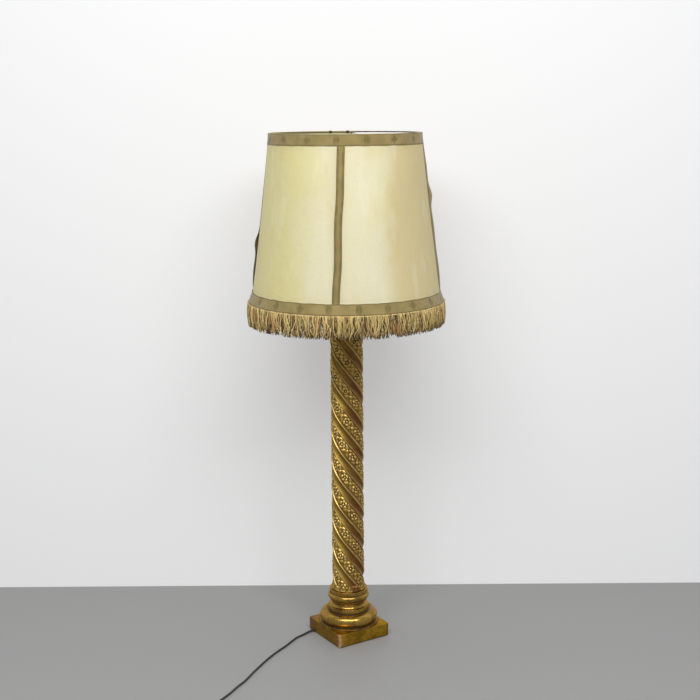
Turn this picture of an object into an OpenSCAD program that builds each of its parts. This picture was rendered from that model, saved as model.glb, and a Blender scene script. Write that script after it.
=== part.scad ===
// Candlestick floor lamp. A gilded wooden column with a four-start, left-handed
// carved spiral stands on a turned base and a square plinth. A threaded tube
// clamps the wood together and carries the lamp holder. A wire-framed parchment
// shade with braid and fringe sits on the holder. The cord leaves the plinth and
// ends in a small coil with its plug.
// Millimetres, +Z up. The origin is on the floor under the middle of the plinth,
// and the plinth's faces lie across X and Y.

/* [Plinth] */
// Side of the square plinth
plinth_side = 174.7; // [160:0.1:200]
// Height of the plinth itself
plinth_h = 37.7; // [36:0.1:50]
// Radius of its upright corners
plinth_corner_r = 3; // [1:0.5:6]
// Wall around the hollow underside
plinth_wall = 22; // [18:0.5:26]
// Depth of the hollow underside
hollow_h = 12; // [11:0.5:16]
// Diameter of the well for the nut and washer
well_d = 50; // [44:1:60]
// Depth of the well, from the underside
well_h = 27; // [26:0.5:30]
// Diameter of a felt pad
pad_d = 18; // [12:1:20]
// Thickness of a felt pad
pad_h = 2; // [1:0.5:4]

/* [Turned base] */
// Diameter of the disc at the foot
foot_d = 174; // [150:1:180]
// Height of the disc at the foot
foot_h = 4; // [2:0.5:8]
// Diameter of the lower torus
low_torus_d = 172.4; // [140:0.1:180]
// Height of the lower torus
low_torus_h = 35.6; // [30:0.1:40]
// Diameter of the fillet above the lower torus
low_fillet_d = 122; // [110:1:130]
// Height of the fillet above the lower torus
low_fillet_h = 14.7; // [3:0.1:18]
// Diameter of the neck, the deepest point of the scotia
neck_d = 99; // [90:1:105]
// Height of the scotia
scotia_h = 17.3; // [14:0.1:32]
// Diameter of the scotia's rims
scotia_rim_d = 113; // [108:1:120]
// Height of the fillet above the scotia
mid_fillet_h = 4; // [2:0.5:8]
// Diameter of the upper torus
up_torus_d = 124; // [118:1:140]
// Height of the upper torus
up_torus_h = 20; // [16:0.5:26]
// Diameter of the collar under the shaft
collar_d = 114; // [104:1:118]
// Height of the collar
collar_h = 11; // [6:0.5:16]

/* [Spiral shaft] */
// Length of the carved shaft
shaft_h = 800; // [500:1:1000]
// Diameter over the carved bands
shaft_d = 95; // [85:0.5:100]
// Depth of the flutes
flute_depth = 5; // [2:0.5:8]
// Height of one full turn of the spiral
spiral_pitch = 354; // [250:1:500]
// Number of flutes
flutes = 4; // [3:1:6]
// Turn of the first flute about the axis, in degrees
flute_turn = 73.5; // [0:0.5:90]
// Diameter of the round tenons at the shaft's ends
tenon_d = 36; // [28:1:44]
// Length of a tenon
tenon_h = 16; // [10:1:19]

/* [Capital] */
// Diameter of the capital's neck ring
cap_neck_d = 102; // [96:1:110]
// Height of the capital's neck ring
cap_neck_h = 6; // [3:0.5:8]
// Diameter of the capital's torus
cap_torus_d = 118; // [104:1:124]
// Height of the capital's torus
cap_torus_h = 16; // [10:0.5:18]
// Diameter of the capital's top slab
cap_slab_d = 108; // [98:1:120]
// Height of the capital's top slab
cap_slab_h = 11; // [5:0.5:14]
// Diameter of the brass disc on the capital
disc_d = 70; // [50:1:90]
// Thickness of the brass disc
disc_h = 2.5; // [1.5:0.5:4]

/* [Threaded tube and nuts] */
// Outer diameter of the threaded tube
tube_d = 10; // [10:0.5:12]
// Bore of the threaded tube
tube_bore_d = 7; // [6.8:0.1:7.5]
// Width of the hexagon nuts across their flats
nut_af = 17; // [16:0.5:20]
// Height of a hexagon nut
nut_h = 6; // [4:0.5:7]
// Diameter of the plate washer under the plinth's top
washer_d = 40; // [30:1:42]
// Thickness of the plate washer
washer_h = 2.5; // [1.5:0.5:4]

/* [Lamp holder] */
// Outer diameter of the holder's threaded shell
shell_d = 39.6; // [39:0.1:41]
// Inner diameter of the shell
shell_bore_d = 34; // [33:0.1:35]
// Length of the shell above the cap
shell_h = 48; // [44:1:56]
// Height of the shade's seat above the cap
seat_h = 16; // [14:0.5:20]
// Diameter of the seat flange
seat_d = 48; // [46:0.5:52]
// Thickness of the seat flange
seat_t = 2; // [1.5:0.5:3]
// Height of the cap
holder_cap_h = 26; // [24:0.5:32]
// Wall of the cap
holder_wall = 1.5; // [1:0.1:2]
// Height of the cap's threaded neck
holder_neck_h = 6; // [5:0.5:8]
// Diameter of the cap's threaded neck
holder_neck_d = 16; // [14:0.5:18]
// Inner diameter of the screw sleeve
sleeve_bore_d = 26.36; // [26:0.01:27]
// Wall of the screw sleeve
sleeve_wall = 0.6; // [0.4:0.1:1]
// Length of the screw sleeve
sleeve_h = 26; // [22:1:30]
// Outer diameter of the ring nut over the shade
ring_nut_d = 50; // [46:0.5:52]
// Height of the ring nut
ring_nut_h = 8; // [5:0.5:12]

/* [Switch key] */
// Diameter of the key's spindle
spindle_d = 4; // [3:0.5:5]
// Height of the spindle above the cap
spindle_z = 4; // [3.5:0.5:5]
// Height of the key's wing
wing_h = 14; // [10:1:15]
// Length of the key's wing, away from the holder
wing_l = 12; // [8:1:16]
// Thickness of the key's wing
wing_t = 4; // [3:0.5:6]

/* [Bulb] */
// Diameter of the glass
bulb_d = 60; // [45:1:80]
// Length of the whole bulb
bulb_l = 105; // [95:1:120]
// Diameter of the screw cap
bulb_cap_d = 26.2; // [25.8:0.01:26.3]
// Length of the screw cap above its insulator
bulb_cap_h = 22; // [18:1:24]

/* [Shade frame] */
// Radius of the top ring, at the middle of its wire
top_ring_r = 212.2; // [150:0.1:260]
// Radius of the bottom ring, at the middle of its wire
bottom_ring_r = 269; // [200:0.1:320]
// Height between the two rings
shade_h = 470.1; // [300:0.1:600]
// Diameter of the ring wires and arms
ring_wire_d = 4; // [3:0.1:5]
// Diameter of the upright wires
upright_wire_d = 3.5; // [2.5:0.1:4]
// Drop of the arms from the holder to the bottom ring
arm_drop = 3; // [0:0.5:40]
// Outer diameter of the centre ring
centre_ring_d = 55; // [53:1:64]
// Thickness of the centre ring
centre_ring_t = 2; // [1.5:0.5:4]
// Direction of the back seam from +X, in degrees
seam_turn = 52.7; // [0:0.1:90]

/* [Cover, braid and fringe] */
// Thickness of the parchment
cover_t = 0.8; // [0.4:0.1:1.5]
// Cover below the middle of the bottom ring
cover_drop = 5; // [3:0.5:10]
// Gap between two panels, under the seam braid
panel_gap = 2; // [1:0.5:6]
// Thickness of the braid
braid_t = 1.2; // [0.8:0.1:2]
// Width of the upright seam braids
seam_w = 22.5; // [12:0.5:40]
// Height of the top band
top_band_h = 32; // [15:0.5:60]
// Height of the bottom band
bottom_band_h = 31; // [15:0.5:60]
// How far the bottom band flares out at its lower edge
band_flare = 8; // [6:0.5:16]
// Length of the fringe below the band
fringe_l = 65; // [30:1:120]
// Thickness of the fringe at its foot
fringe_t = 8; // [4:0.5:12]
// How far the fringe spreads past the band's edge
fringe_spread = 3; // [0:0.5:8]

/* [Cord and plug] */
// Diameter of the cord
cord_d = 6; // [5:0.1:6.5]
// Outer diameter of the cord bush
bush_d = 9; // [8.5:0.1:10]
// How far the bush stands out of the plinth
bush_proud = 4; // [2:0.5:8]
// Length of the strain relief on the plug
relief_l = 25; // [20:1:40]
// Width of the plug
plug_w = 35.3; // [30:0.1:40]
// Thickness of the plug
plug_t = 13.7; // [12:0.1:16]
// Length of the plug's body
plug_l = 37; // [30:1:45]
// Diameter of a plug pin
pin_d = 4; // [4:0.1:4.8]
// Length of a plug pin
pin_l = 19; // [17:0.1:19]
// Distance between the pins
pin_gap = 18.6; // [17.5:0.1:19]

/* [Hidden] */
$fn = 128;

// Clearances
thread_fit = 0.05;   // radial, between a thread and its nut
run_fit = 0.08;      // radial, where a piece turns
loose_fit = 0.3;     // between pieces that only pass each other
wood_fit = 0.25;     // radial, tube in the wood's bore, and round tenons
seat_gap = 0.1;      // between flat faces that slide on each other
lap = 0.1;           // between layers of the shade
eps = 0.01;          // overshoot of a cut
cut_over = 1;        // overshoot of a cut through an outer face

// Heights of the base
plinth_z = pad_h;
foot_z = plinth_z + plinth_h;
low_torus_z = foot_z + foot_h;
low_fillet_z = low_torus_z + low_torus_h;
scotia_z = low_fillet_z + low_fillet_h;
mid_fillet_z = scotia_z + scotia_h;
up_torus_z = mid_fillet_z + mid_fillet_h;
collar_z = up_torus_z + up_torus_h;
shaft_z = collar_z + collar_h;
cap_neck_z = shaft_z + shaft_h;
cap_torus_z = cap_neck_z + cap_neck_h;
cap_slab_z = cap_torus_z + cap_torus_h;
disc_z = cap_slab_z + cap_slab_h;
top_nut_z = disc_z + disc_h;
holder_z = top_nut_z + nut_h;
cap_rim_z = holder_z + holder_cap_h;
seat_z = cap_rim_z + seat_h;

// Wood joints
wood_bore_d = tube_d + 2 * wood_fit;
scotia_depth = (scotia_rim_d - neck_d) / 2;
scotia_cut_r = (pow(scotia_h / 2, 2) + pow(scotia_depth, 2)) / (2 * scotia_depth);
hollow_side = plinth_side - 2 * plinth_wall;
pad_inset = 2;       // from the plinth's faces to a pad
pad_place = plinth_side / 2 - pad_inset - pad_d / 2;

// Tube, washer and nuts
washer_z = plinth_z + well_h - washer_h;
bottom_nut_z = washer_z - nut_h;
tube_end = 2;        // of thread beyond the bottom nut
tube_z = bottom_nut_z - tube_end;
tube_top_z = holder_z + holder_neck_h;

// Lamp holder
spigot_h = 6;        // of the shell inside the cap
spigot_wall = 1.4;
cap_rim_wall = 0.9;  // of the cap's rim outside the shell
cap_rim_r = shell_d / 2 + cap_rim_wall;
insert_drop = 4;     // of the insert below the cap's rim
insert_r = shell_bore_d / 2 - loose_fit;
insert_top_z = cap_rim_z + seat_h;
insert_z = cap_rim_z - insert_drop;
sleeve_flange_t = 1;
sleeve_flange_w = 2;
contact_r = 4;
contact_h = 2;
screw_place = 10;    // of a terminal screw from the axis
screw_d = 3;
screw_head_d = 5.6;
screw_head_h = 2;
screw_l = 6;
screw_tip_gap = 1;   // in the insert beyond a screw's tip
core_d = 2;
core_start_y = 1.05; // of a core from the axis, where it leaves the cord
core_end_gap = 0.8;  // from a core's middle to the screw head that clamps it
core_end_y = screw_place - screw_head_d / 2 - core_end_gap;
core_end_z = insert_z - core_d / 2;
core_l = 8;
core_z = insert_z - core_l;
cam_side = 6;
cam_l = 8;
cam_x = 3;
cam_space_d = 10;
cam_end_gap = 1;     // between the cam's ends and its space
spindle_x = cam_x + cam_l;
wing_gap = 1;        // between the seat flange and the key
wing_x = seat_d / 2 + wing_gap;
key_hub_d = 8;
key_hub_l = wing_l / 2;
spindle_pos_z = cap_rim_z + spindle_z;

// Bulb, measured from its foot contact
bulb_z = insert_top_z + contact_h + seat_gap;
foot_contact_h = 1.2;
foot_contact_d = 9.6;
insulator_h = 4.3;
insulator_foot_d = foot_contact_d + 1;
insulator_top_d = bulb_cap_d - 2;
insulator_z = bulb_z + foot_contact_h;
bulb_cap_z = insulator_z + insulator_h;
bulb_cap_wall = 0.5;
glass_t = 1;
glass_neck_r = bulb_cap_d / 2 - bulb_cap_wall - lap;
glass_in = 5;        // of the glass neck inside the screw cap
globe_z = bulb_z + bulb_l - bulb_d / 2;
glass_foot_z = bulb_cap_z + bulb_cap_h - glass_in;
neck_rise = 1;       // of the straight neck above the screw cap
neck_top_z = bulb_cap_z + bulb_cap_h + neck_rise;
globe_touch = 35;    // below the globe's middle, in degrees, where the neck's cone meets it

// Shade
nut_gap = seat_gap;
centre_ring_z = seat_z + seat_gap;
arm_z = centre_ring_z + centre_ring_t / 2;
bottom_ring_z = arm_z - arm_drop;
top_ring_z = bottom_ring_z + shade_h;
wall_slope = atan((bottom_ring_r - top_ring_r) / shade_h);
wire_r = ring_wire_d / 2;
weld = 0.5;          // depth of a weld between two wires
upright_gap = 0.35;  // between an upright wire and the cover
cover_in = (wire_r + lap) / cos(wall_slope);
cover_out = cover_in + cover_t / cos(wall_slope);
upright_shift = cover_in - (upright_gap + upright_wire_d / 2) / cos(wall_slope);
braid_in = cover_out + lap;
shade_top_z = top_ring_z + wire_r;
cover_foot_z = bottom_ring_z - cover_drop;
band_foot_z = cover_foot_z;
band_top_z = band_foot_z + bottom_band_h;
top_band_z = shade_top_z - top_band_h;
seam_foot_z = band_top_z + lap;
seam_head_z = top_band_z - lap;
fringe_tuck = 9;     // of the fringe's heading behind the bottom band
fringe_z = band_foot_z - fringe_l;

// Radius of the wire frame's wall at a height
function wall_r(z) =
  bottom_ring_r + (top_ring_r - bottom_ring_r) * (z - bottom_ring_z) / shade_h;
// Inner face of the bottom band at a height
function band_r(z) =
  wall_r(z) + braid_in + band_flare * (band_top_z - z) / bottom_band_h;

// Cord
cord_r = cord_d / 2;
bush_r = bush_d / 2;
bush_y = 58;
bush_z = pad_h + bush_r;
bush_flange_d = 11;
bush_flange_t = 2;
bush_in = 3;         // of the bush past the wall, inside the hollow
bush_face_x = -plinth_side / 2 - bush_proud;
bush_end_x = -plinth_side / 2 + plinth_wall + bush_in;
inner_straight_z = 60; // of the inner cord, from where it hangs straight in the tube

// The cord's route on the floor, chosen by hand
cord_route = [
  [-91.4, 58, 6.5], [-104, 57, 6], [-117, 54.5, 4.6], [-130, 52, 3.4], [-144, 49, 3],
  [-158, 44.5, 3], [-171, 37.5, 3], [-184, 30, 3], [-197, 22, 3], [-211, 14, 3],
  [-225, 6.5, 3], [-240, -1, 3], [-255, -8.5, 3], [-270, -17, 3], [-285, -26, 3],
  [-300, -35, 3], [-314, -44.5, 3], [-328, -54, 3], [-342, -64, 3], [-356, -74, 3],
  [-370, -84, 3], [-384, -94.5, 3], [-398, -105.5, 3], [-412, -116, 3],
  [-426, -126, 3], [-440, -134, 3], [-454, -142, 3], [-468, -151.5, 3],
  [-482, -161, 3], [-497, -170, 3], [-512, -178.5, 3], [-528, -187, 3],
  [-544, -196, 3.1], [-560, -204.5, 3.4], [-576, -213, 3.8], [-591, -221, 4]
];
// The short end between the coil and the plug
tail_route = [
  [-594, -295, 10.4], [-581, -303.5, 10.2], [-568, -312, 8.8], [-556, -320, 7.4],
  [-548, -325, 7]
];
// The cord inside the plinth, up to the lower end of the threaded tube
inner_bends = [
  [-91.4, 58, 6.5], [-62, 58, 6.5], [-53, 56.5, 6.5], [-44, 52, 6.5], [-37, 45, 6.5],
  [-30, 36.5, 6.5], [-23, 28, 6.5], [-16, 19.5, 6.5], [-10, 12.2, 6.5],
  [-7.4, 9.2, 6.6], [-4.6, 5.8, 7.4], [-2.2, 2.8, 10], [-0.6, 0.7, 13.9], [0, 0, 18.5]
];
cord_sides = 10;

// Coil beside the end of the route
coil_x = -570;
coil_y = -259;
coil_in_r = 21;
coil_out_r = 46;
coil_z = 1;
coil_h = 12.4;
tie_t = 0.7;
tie_w = 8;
tie_gap = 0.2;
tie_slack = 0.5;     // at the coil's inner side, which curves away

// Plug at the end of the tail
plug_turn = -33.1;
plug_x = -548;
plug_y = -325;
plug_z = 7;
relief_wall = 0.4;   // of the relief around the cord at its thin end
relief_end_d = 10.4;
plug_neck_w = 15;
plug_shoulder_l = 17;
plug_corner = 4;

// Turned solid of one length: a disc of a torus's rim and its core
module torus_outline(d, h) {
  translate([d / 2 - h / 2, h / 2]) circle(d = h);
  square([d / 2 - h / 2, h]);
}

module hexagon_nut(h) {
  difference() {
    cylinder(h = h, r = nut_af / 2 / cos(30), $fn = 6);
    translate([0, 0, -eps]) cylinder(h = h + 2 * eps, d = tube_d + 2 * thread_fit);
  }
}

module ring_plate(h, out_d, in_d) {
  difference() {
    cylinder(h = h, d = out_d);
    translate([0, 0, -eps]) cylinder(h = h + 2 * eps, d = in_d);
  }
}

module wire_ring(r, z) {
  translate([0, 0, z]) rotate_extrude() translate([r, 0]) circle(d = ring_wire_d, $fn = 32);
}

// A straight round wire from one point to another
module wire(from, to, d) {
  v = to - from;
  translate(from)
    rotate([0, acos(v[2] / norm(v)), atan2(v[1], v[0])])
      cylinder(h = norm(v), d = d, $fn = 32);
}

// Round cord swept along points. The side of each ring lies across the way that
// ref points, which the cord never does.
function unit(v) = v / norm(v);
function heading(p, i) = unit(p[min(i + 1, len(p) - 1)] - p[max(i - 1, 0)]);
function ring_points(p, i, r, n, ref) =
  let (t = heading(p, i), s = unit(cross(ref, t)), u = cross(t, s))
  [for (k = [0:n - 1]) p[i] + r * (cos(360 * k / n) * s + sin(360 * k / n) * u)];
module swept_cord(p, r, ref) {
  n = cord_sides;
  last = len(p) - 1;
  polyhedron(
    points = [for (i = [0:last]) each ring_points(p, i, r, n, ref)],
    faces = concat(
      [[for (k = [0:n - 1]) k]],
      [[for (k = [n - 1:-1:0]) last * n + k]],
      [for (i = [0:last - 1], k = [0:n - 1])
        let (a = i * n + k, b = i * n + (k + 1) % n)
        [a, a + n, b + n, b]]
    )
  );
}

module felt_pads() {
  color("darkolivegreen")
    for (x = [-1, 1], y = [-1, 1])
      translate([x * pad_place, y * pad_place, 0]) cylinder(h = pad_h, d = pad_d);
}

module rounded_square(side, r) {
  square([side, side - 2 * r], center = true);
  square([side - 2 * r, side], center = true);
  for (x = [-1, 1], y = [-1, 1])
    translate([x * (side / 2 - r), y * (side / 2 - r)]) circle(r = r);
}

module plinth() {
  color("goldenrod")
    translate([0, 0, plinth_z])
      difference() {
        linear_extrude(height = plinth_h) rounded_square(plinth_side, plinth_corner_r);
        translate([0, 0, -eps]) {
          linear_extrude(height = hollow_h + eps) rounded_square(hollow_side, plinth_corner_r);
          cylinder(h = well_h + eps, d = well_d);
          cylinder(h = plinth_h + 2 * eps, d = wood_bore_d);
        }
        cord_notch();
      }
}

// Slot through the plinth's wall for the bush, open below, drawn from the underside
module cord_notch() {
  notch_r = bush_r + lap;
  notch_l = plinth_wall + 2 * cut_over;
  translate([-plinth_side / 2 - cut_over, bush_y, bush_r]) {
    rotate([0, 90, 0]) cylinder(h = notch_l, r = notch_r);
    translate([0, -notch_r, -bush_r - eps]) cube([notch_l, 2 * notch_r, bush_r + eps]);
  }
}

module base_outline() {
  square([foot_d / 2, foot_h]);
  translate([0, low_torus_z - foot_z]) torus_outline(low_torus_d, low_torus_h);
  translate([0, low_fillet_z - foot_z]) square([low_fillet_d / 2, low_fillet_h]);
  difference() {
    translate([0, scotia_z - foot_z]) square([scotia_rim_d / 2, scotia_h]);
    translate([neck_d / 2 + scotia_cut_r, scotia_z - foot_z + scotia_h / 2])
      circle(r = scotia_cut_r);
  }
  translate([0, mid_fillet_z - foot_z]) square([scotia_rim_d / 2, mid_fillet_h]);
  translate([0, up_torus_z - foot_z]) torus_outline(up_torus_d, up_torus_h);
  translate([0, collar_z - foot_z]) square([collar_d / 2, collar_h]);
}

module base_turning() {
  color("goldenrod")
    translate([0, 0, foot_z])
      difference() {
        rotate_extrude() base_outline();
        translate([0, 0, -eps]) cylinder(h = shaft_z - foot_z + 2 * eps, d = wood_bore_d);
        translate([0, 0, shaft_z - foot_z - tenon_h - lap])
          cylinder(h = tenon_h + lap + eps, d = tenon_d + 2 * wood_fit);
      }
}

// One flute and one raised band of the shaft's section, as radius against turn
flute_share = 0.4;
section_steps = 9;
function section_r(s) =
  shaft_d / 2 - (s < flute_share ? flute_depth * sin(180 * s / flute_share) : 0);

module shaft_section() {
  n = section_steps * flutes;
  polygon([for (i = [0:n - 1])
    let (a = 360 * i / n, s = (i % section_steps) / section_steps)
    section_r(s) * [cos(a), sin(a)]]);
}

module column_shaft() {
  color("darkgoldenrod")
    translate([0, 0, shaft_z])
      difference() {
        union() {
          rotate([0, 0, flute_turn])
            linear_extrude(height = shaft_h, twist = 360 * shaft_h / spiral_pitch, slices = 72,
              $fn = 12)
              shaft_section();
          translate([0, 0, -tenon_h]) cylinder(h = shaft_h + 2 * tenon_h, d = tenon_d);
        }
        translate([0, 0, -tenon_h - eps])
          cylinder(h = shaft_h + 2 * tenon_h + 2 * eps, d = wood_bore_d);
      }
}

module capital() {
  color("goldenrod")
    translate([0, 0, cap_neck_z])
      difference() {
        rotate_extrude() {
          square([cap_neck_d / 2, cap_neck_h]);
          translate([0, cap_torus_z - cap_neck_z]) torus_outline(cap_torus_d, cap_torus_h);
          translate([0, cap_slab_z - cap_neck_z]) square([cap_slab_d / 2, cap_slab_h]);
        }
        translate([0, 0, -eps]) {
          cylinder(h = disc_z - cap_neck_z + 2 * eps, d = wood_bore_d);
          cylinder(h = tenon_h + lap + eps, d = tenon_d + 2 * wood_fit);
        }
      }
}

module cap_disc() {
  color("gold") translate([0, 0, disc_z]) ring_plate(disc_h, disc_d, tube_d + 2 * thread_fit);
}

module threaded_tube() {
  color("silver")
    translate([0, 0, tube_z]) ring_plate(tube_top_z - tube_z, tube_d, tube_bore_d);
}

module bottom_washer() {
  color("silver")
    translate([0, 0, washer_z]) ring_plate(washer_h, washer_d, tube_d + 2 * thread_fit);
}

module bottom_nut() {
  color("silver") translate([0, 0, bottom_nut_z]) hexagon_nut(nut_h);
}

module top_nut() {
  color("gold") translate([0, 0, top_nut_z]) hexagon_nut(nut_h);
}

// The cap's domed outline, drawn from its neck's top, with or without its wall
dome_h = 12;
module dome_outline(wall) {
  rx = cap_rim_r - wall;
  ry = dome_h - wall;
  translate([0, dome_h])
    polygon(concat([[0, 0]], [for (a = [0:7.5:90]) [rx * cos(a), -ry * sin(a)]]));
}

module holder_cap() {
  rim_bore_r = shell_d / 2 - spigot_wall + thread_fit;
  rim_h = holder_cap_h - holder_neck_h - dome_h;
  color("darkslategray")
    translate([0, 0, holder_z])
      difference() {
        union() {
          cylinder(h = holder_neck_h + dome_h / 2, d = holder_neck_d);
          translate([0, 0, holder_neck_h]) rotate_extrude() dome_outline(0);
          translate([0, 0, holder_neck_h + dome_h]) cylinder(h = rim_h, r = cap_rim_r);
        }
        translate([0, 0, holder_neck_h]) rotate_extrude() dome_outline(holder_wall);
        translate([0, 0, holder_neck_h + dome_h - eps])
          cylinder(h = rim_h - spigot_h + eps, r = cap_rim_r - holder_wall);
        translate([0, 0, holder_neck_h + dome_h]) cylinder(h = rim_h + eps, r = rim_bore_r);
        translate([0, 0, -eps])
          cylinder(h = holder_cap_h, d = tube_d + 2 * thread_fit);
      }
}

module holder_shell() {
  color("darkslategray")
    translate([0, 0, cap_rim_z])
      difference() {
        union() {
          cylinder(h = shell_h, d = shell_d);
          translate([0, 0, -spigot_h + lap])
            cylinder(h = spigot_h, d = shell_d - 2 * spigot_wall);
          translate([0, 0, seat_h - seat_t]) cylinder(h = seat_t, d = seat_d);
        }
        translate([0, 0, -spigot_h - eps])
          cylinder(h = spigot_h + shell_h + 2 * eps, d = shell_bore_d);
        translate([0, 0, spindle_z])
          rotate([0, 90, 0]) cylinder(h = seat_d, d = spindle_d + 2 * run_fit);
      }
}

module holder_insert() {
  color("ivory")
    difference() {
      translate([0, 0, insert_z]) cylinder(h = insert_top_z - insert_z, r = insert_r);
      translate([0, 0, spindle_pos_z])
        rotate([0, 90, 0]) {
          cylinder(h = seat_d, d = spindle_d + 2 * run_fit);
          translate([0, 0, cam_x - cam_end_gap])
            cylinder(h = cam_l + 2 * cam_end_gap, d = cam_space_d);
        }
      for (y = [-1, 1])
        translate([0, y * screw_place, insert_z - eps])
          cylinder(h = screw_l + screw_tip_gap, d = screw_d + 2 * thread_fit);
    }
}

module screw_sleeve() {
  out_d = sleeve_bore_d + 2 * sleeve_wall;
  color("gold")
    translate([0, 0, insert_top_z]) {
      ring_plate(sleeve_h, out_d, sleeve_bore_d);
      ring_plate(sleeve_flange_t, out_d + 2 * sleeve_flange_w, sleeve_bore_d);
    }
}

module centre_contact() {
  color("gold") translate([0, 0, insert_top_z]) cylinder(h = contact_h, r = contact_r);
}

module terminal_screws() {
  color("silver")
    for (y = [-1, 1])
      translate([0, y * screw_place, insert_z]) {
        cylinder(h = screw_l, d = screw_d);
        translate([0, 0, -screw_head_h]) cylinder(h = screw_head_h, d = screw_head_d);
      }
}

module cord_cores() {
  color("steelblue")
    for (y = [-1, 1])
      wire([0, y * core_start_y, core_z], [0, y * core_end_y, core_end_z], core_d);
}

module inner_cord() {
  color("dimgray")
    swept_cord(concat(inner_bends, [[0, 0, inner_straight_z], [0, 0, core_z]]), cord_r, [1, 1, 0.2]);
}

module cord_bush() {
  color("black")
    difference() {
      union() {
        translate([bush_face_x, bush_y, bush_z])
          rotate([0, 90, 0]) cylinder(h = bush_end_x - bush_face_x, d = bush_d);
        translate([-plinth_side / 2 - bush_flange_t, bush_y, bush_z])
          rotate([0, 90, 0]) cylinder(h = bush_flange_t, d = bush_flange_d);
      }
      translate([bush_face_x - eps, bush_y, bush_z])
        rotate([0, 90, 0]) cylinder(h = bush_end_x - bush_face_x + 2 * eps, d = cord_d + 2 * lap);
    }
}

module cord() {
  color("black") swept_cord(cord_route, cord_r, [0, 0, 1]);
}

module cord_coil() {
  color("black")
    translate([coil_x, coil_y, coil_z])
      ring_plate(coil_h, 2 * coil_out_r, 2 * coil_in_r);
}

module cord_tail() {
  color("black") swept_cord(tail_route, cord_r, [0, 0, 1]);
}

// Flat strap around one place of the coil
module cord_tie() {
  hole_l = coil_out_r - coil_in_r + 2 * tie_gap + tie_slack;
  hole_h = coil_h + 2 * tie_gap;
  color("dimgray")
    translate([coil_x + (coil_in_r + coil_out_r - tie_slack) / 2, coil_y, coil_z + coil_h / 2])
      difference() {
        cube([hole_l + 2 * tie_t, tie_w, hole_h + 2 * tie_t], center = true);
        cube([hole_l, tie_w + 2 * cut_over, hole_h], center = true);
      }
}

module at_plug() {
  translate([plug_x, plug_y, plug_z]) rotate([0, 0, plug_turn]) children();
}

module plug_relief() {
  color("black")
    at_plug() rotate([0, 90, 0]) cylinder(h = relief_l, d1 = cord_d + 2 * relief_wall, d2 = relief_end_d);
}

module plug_body() {
  w = plug_w / 2;
  c = plug_corner;
  color("black")
    at_plug()
      translate([relief_l, 0, -plug_t / 2])
        linear_extrude(height = plug_t)
          polygon([
            [0, -plug_neck_w / 2], [plug_shoulder_l, -w], [plug_l - c, -w], [plug_l, -w + c],
            [plug_l, w - c], [plug_l - c, w], [plug_shoulder_l, w], [0, plug_neck_w / 2]
          ]);
}

module plug_pins() {
  color("silver")
    at_plug()
      for (y = [-1, 1])
        translate([relief_l + plug_l, y * pin_gap / 2, 0])
          rotate([0, 90, 0]) cylinder(h = pin_l, d = pin_d);
}

module switch_key() {
  color("black")
    difference() {
      translate([0, 0, spindle_pos_z]) {
        translate([wing_x, 0, 0]) rotate([0, 90, 0]) cylinder(h = key_hub_l, d = key_hub_d);
        translate([wing_x, -wing_t / 2, -wing_h / 2]) cube([wing_l, wing_t, wing_h]);
      }
      translate([wing_x - eps, 0, spindle_pos_z])
        rotate([0, 90, 0]) cylinder(h = key_hub_l, d = spindle_d + 2 * thread_fit);
    }
}

module switch_spindle() {
  color("gold")
    translate([0, 0, spindle_pos_z]) {
      translate([spindle_x - eps, 0, 0])
        rotate([0, 90, 0]) cylinder(h = wing_x + key_hub_l - spindle_x - lap, d = spindle_d);
      translate([cam_x, -cam_side / 2, -cam_side / 2]) cube([cam_l, cam_side, cam_side]);
    }
}

module bulb_contact() {
  color("silver") translate([0, 0, bulb_z]) cylinder(h = foot_contact_h, d = foot_contact_d);
}

module bulb_insulator() {
  color("black")
    translate([0, 0, insulator_z])
      cylinder(h = insulator_h, d1 = insulator_foot_d, d2 = insulator_top_d);
}

module bulb_cap() {
  color("silver")
    translate([0, 0, bulb_cap_z]) ring_plate(bulb_cap_h, bulb_cap_d, bulb_cap_d - 2 * bulb_cap_wall);
}

// Outline of the bulb's glass as a solid, shrunk by a wall
module glass_outline(wall) {
  r = bulb_d / 2 - wall;
  foot = glass_foot_z - wall - eps * sign(wall);
  intersection() {
    translate([0, globe_z]) circle(r = r);
    translate([0, globe_z - bulb_d]) square([bulb_d, 2 * bulb_d]);
  }
  polygon([
    [0, foot], [glass_neck_r - wall, foot], [glass_neck_r - wall, neck_top_z],
    [r * cos(globe_touch), globe_z - r * sin(globe_touch)],
    [0, globe_z - r * sin(globe_touch)]
  ]);
}

module bulb_glass() {
  color("white")
    difference() {
      rotate_extrude() glass_outline(0);
      rotate_extrude() glass_outline(glass_t);
    }
}

module shade_ring_nut() {
  color("darkslategray")
    translate([0, 0, centre_ring_z + centre_ring_t + nut_gap])
      ring_plate(ring_nut_h, ring_nut_d, shell_d + 2 * run_fit);
}

module centre_ring() {
  color("silver")
    translate([0, 0, centre_ring_z])
      ring_plate(centre_ring_t, centre_ring_d, shell_d + 2 * run_fit);
}

module spider_arms() {
  inner = centre_ring_d / 2 - weld;
  outer = bottom_ring_r - wire_r + weld;
  color("silver")
    for (k = [0:3])
      rotate([0, 0, seam_turn + 90 * k])
        wire([inner, 0, arm_z], [outer, 0, bottom_ring_z], ring_wire_d);
}

module bottom_ring() {
  color("silver") wire_ring(bottom_ring_r, bottom_ring_z);
}

module top_ring() {
  color("silver") wire_ring(top_ring_r, top_ring_z);
}

module upright_wires() {
  rise = wire_r - weld;
  color("silver")
    for (k = [0:3])
      rotate([0, 0, seam_turn + 90 * k])
        wire(
          [wall_r(bottom_ring_z + rise) + upright_shift, 0, bottom_ring_z + rise],
          [wall_r(top_ring_z - rise) + upright_shift, 0, top_ring_z - rise], upright_wire_d);
}

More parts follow.
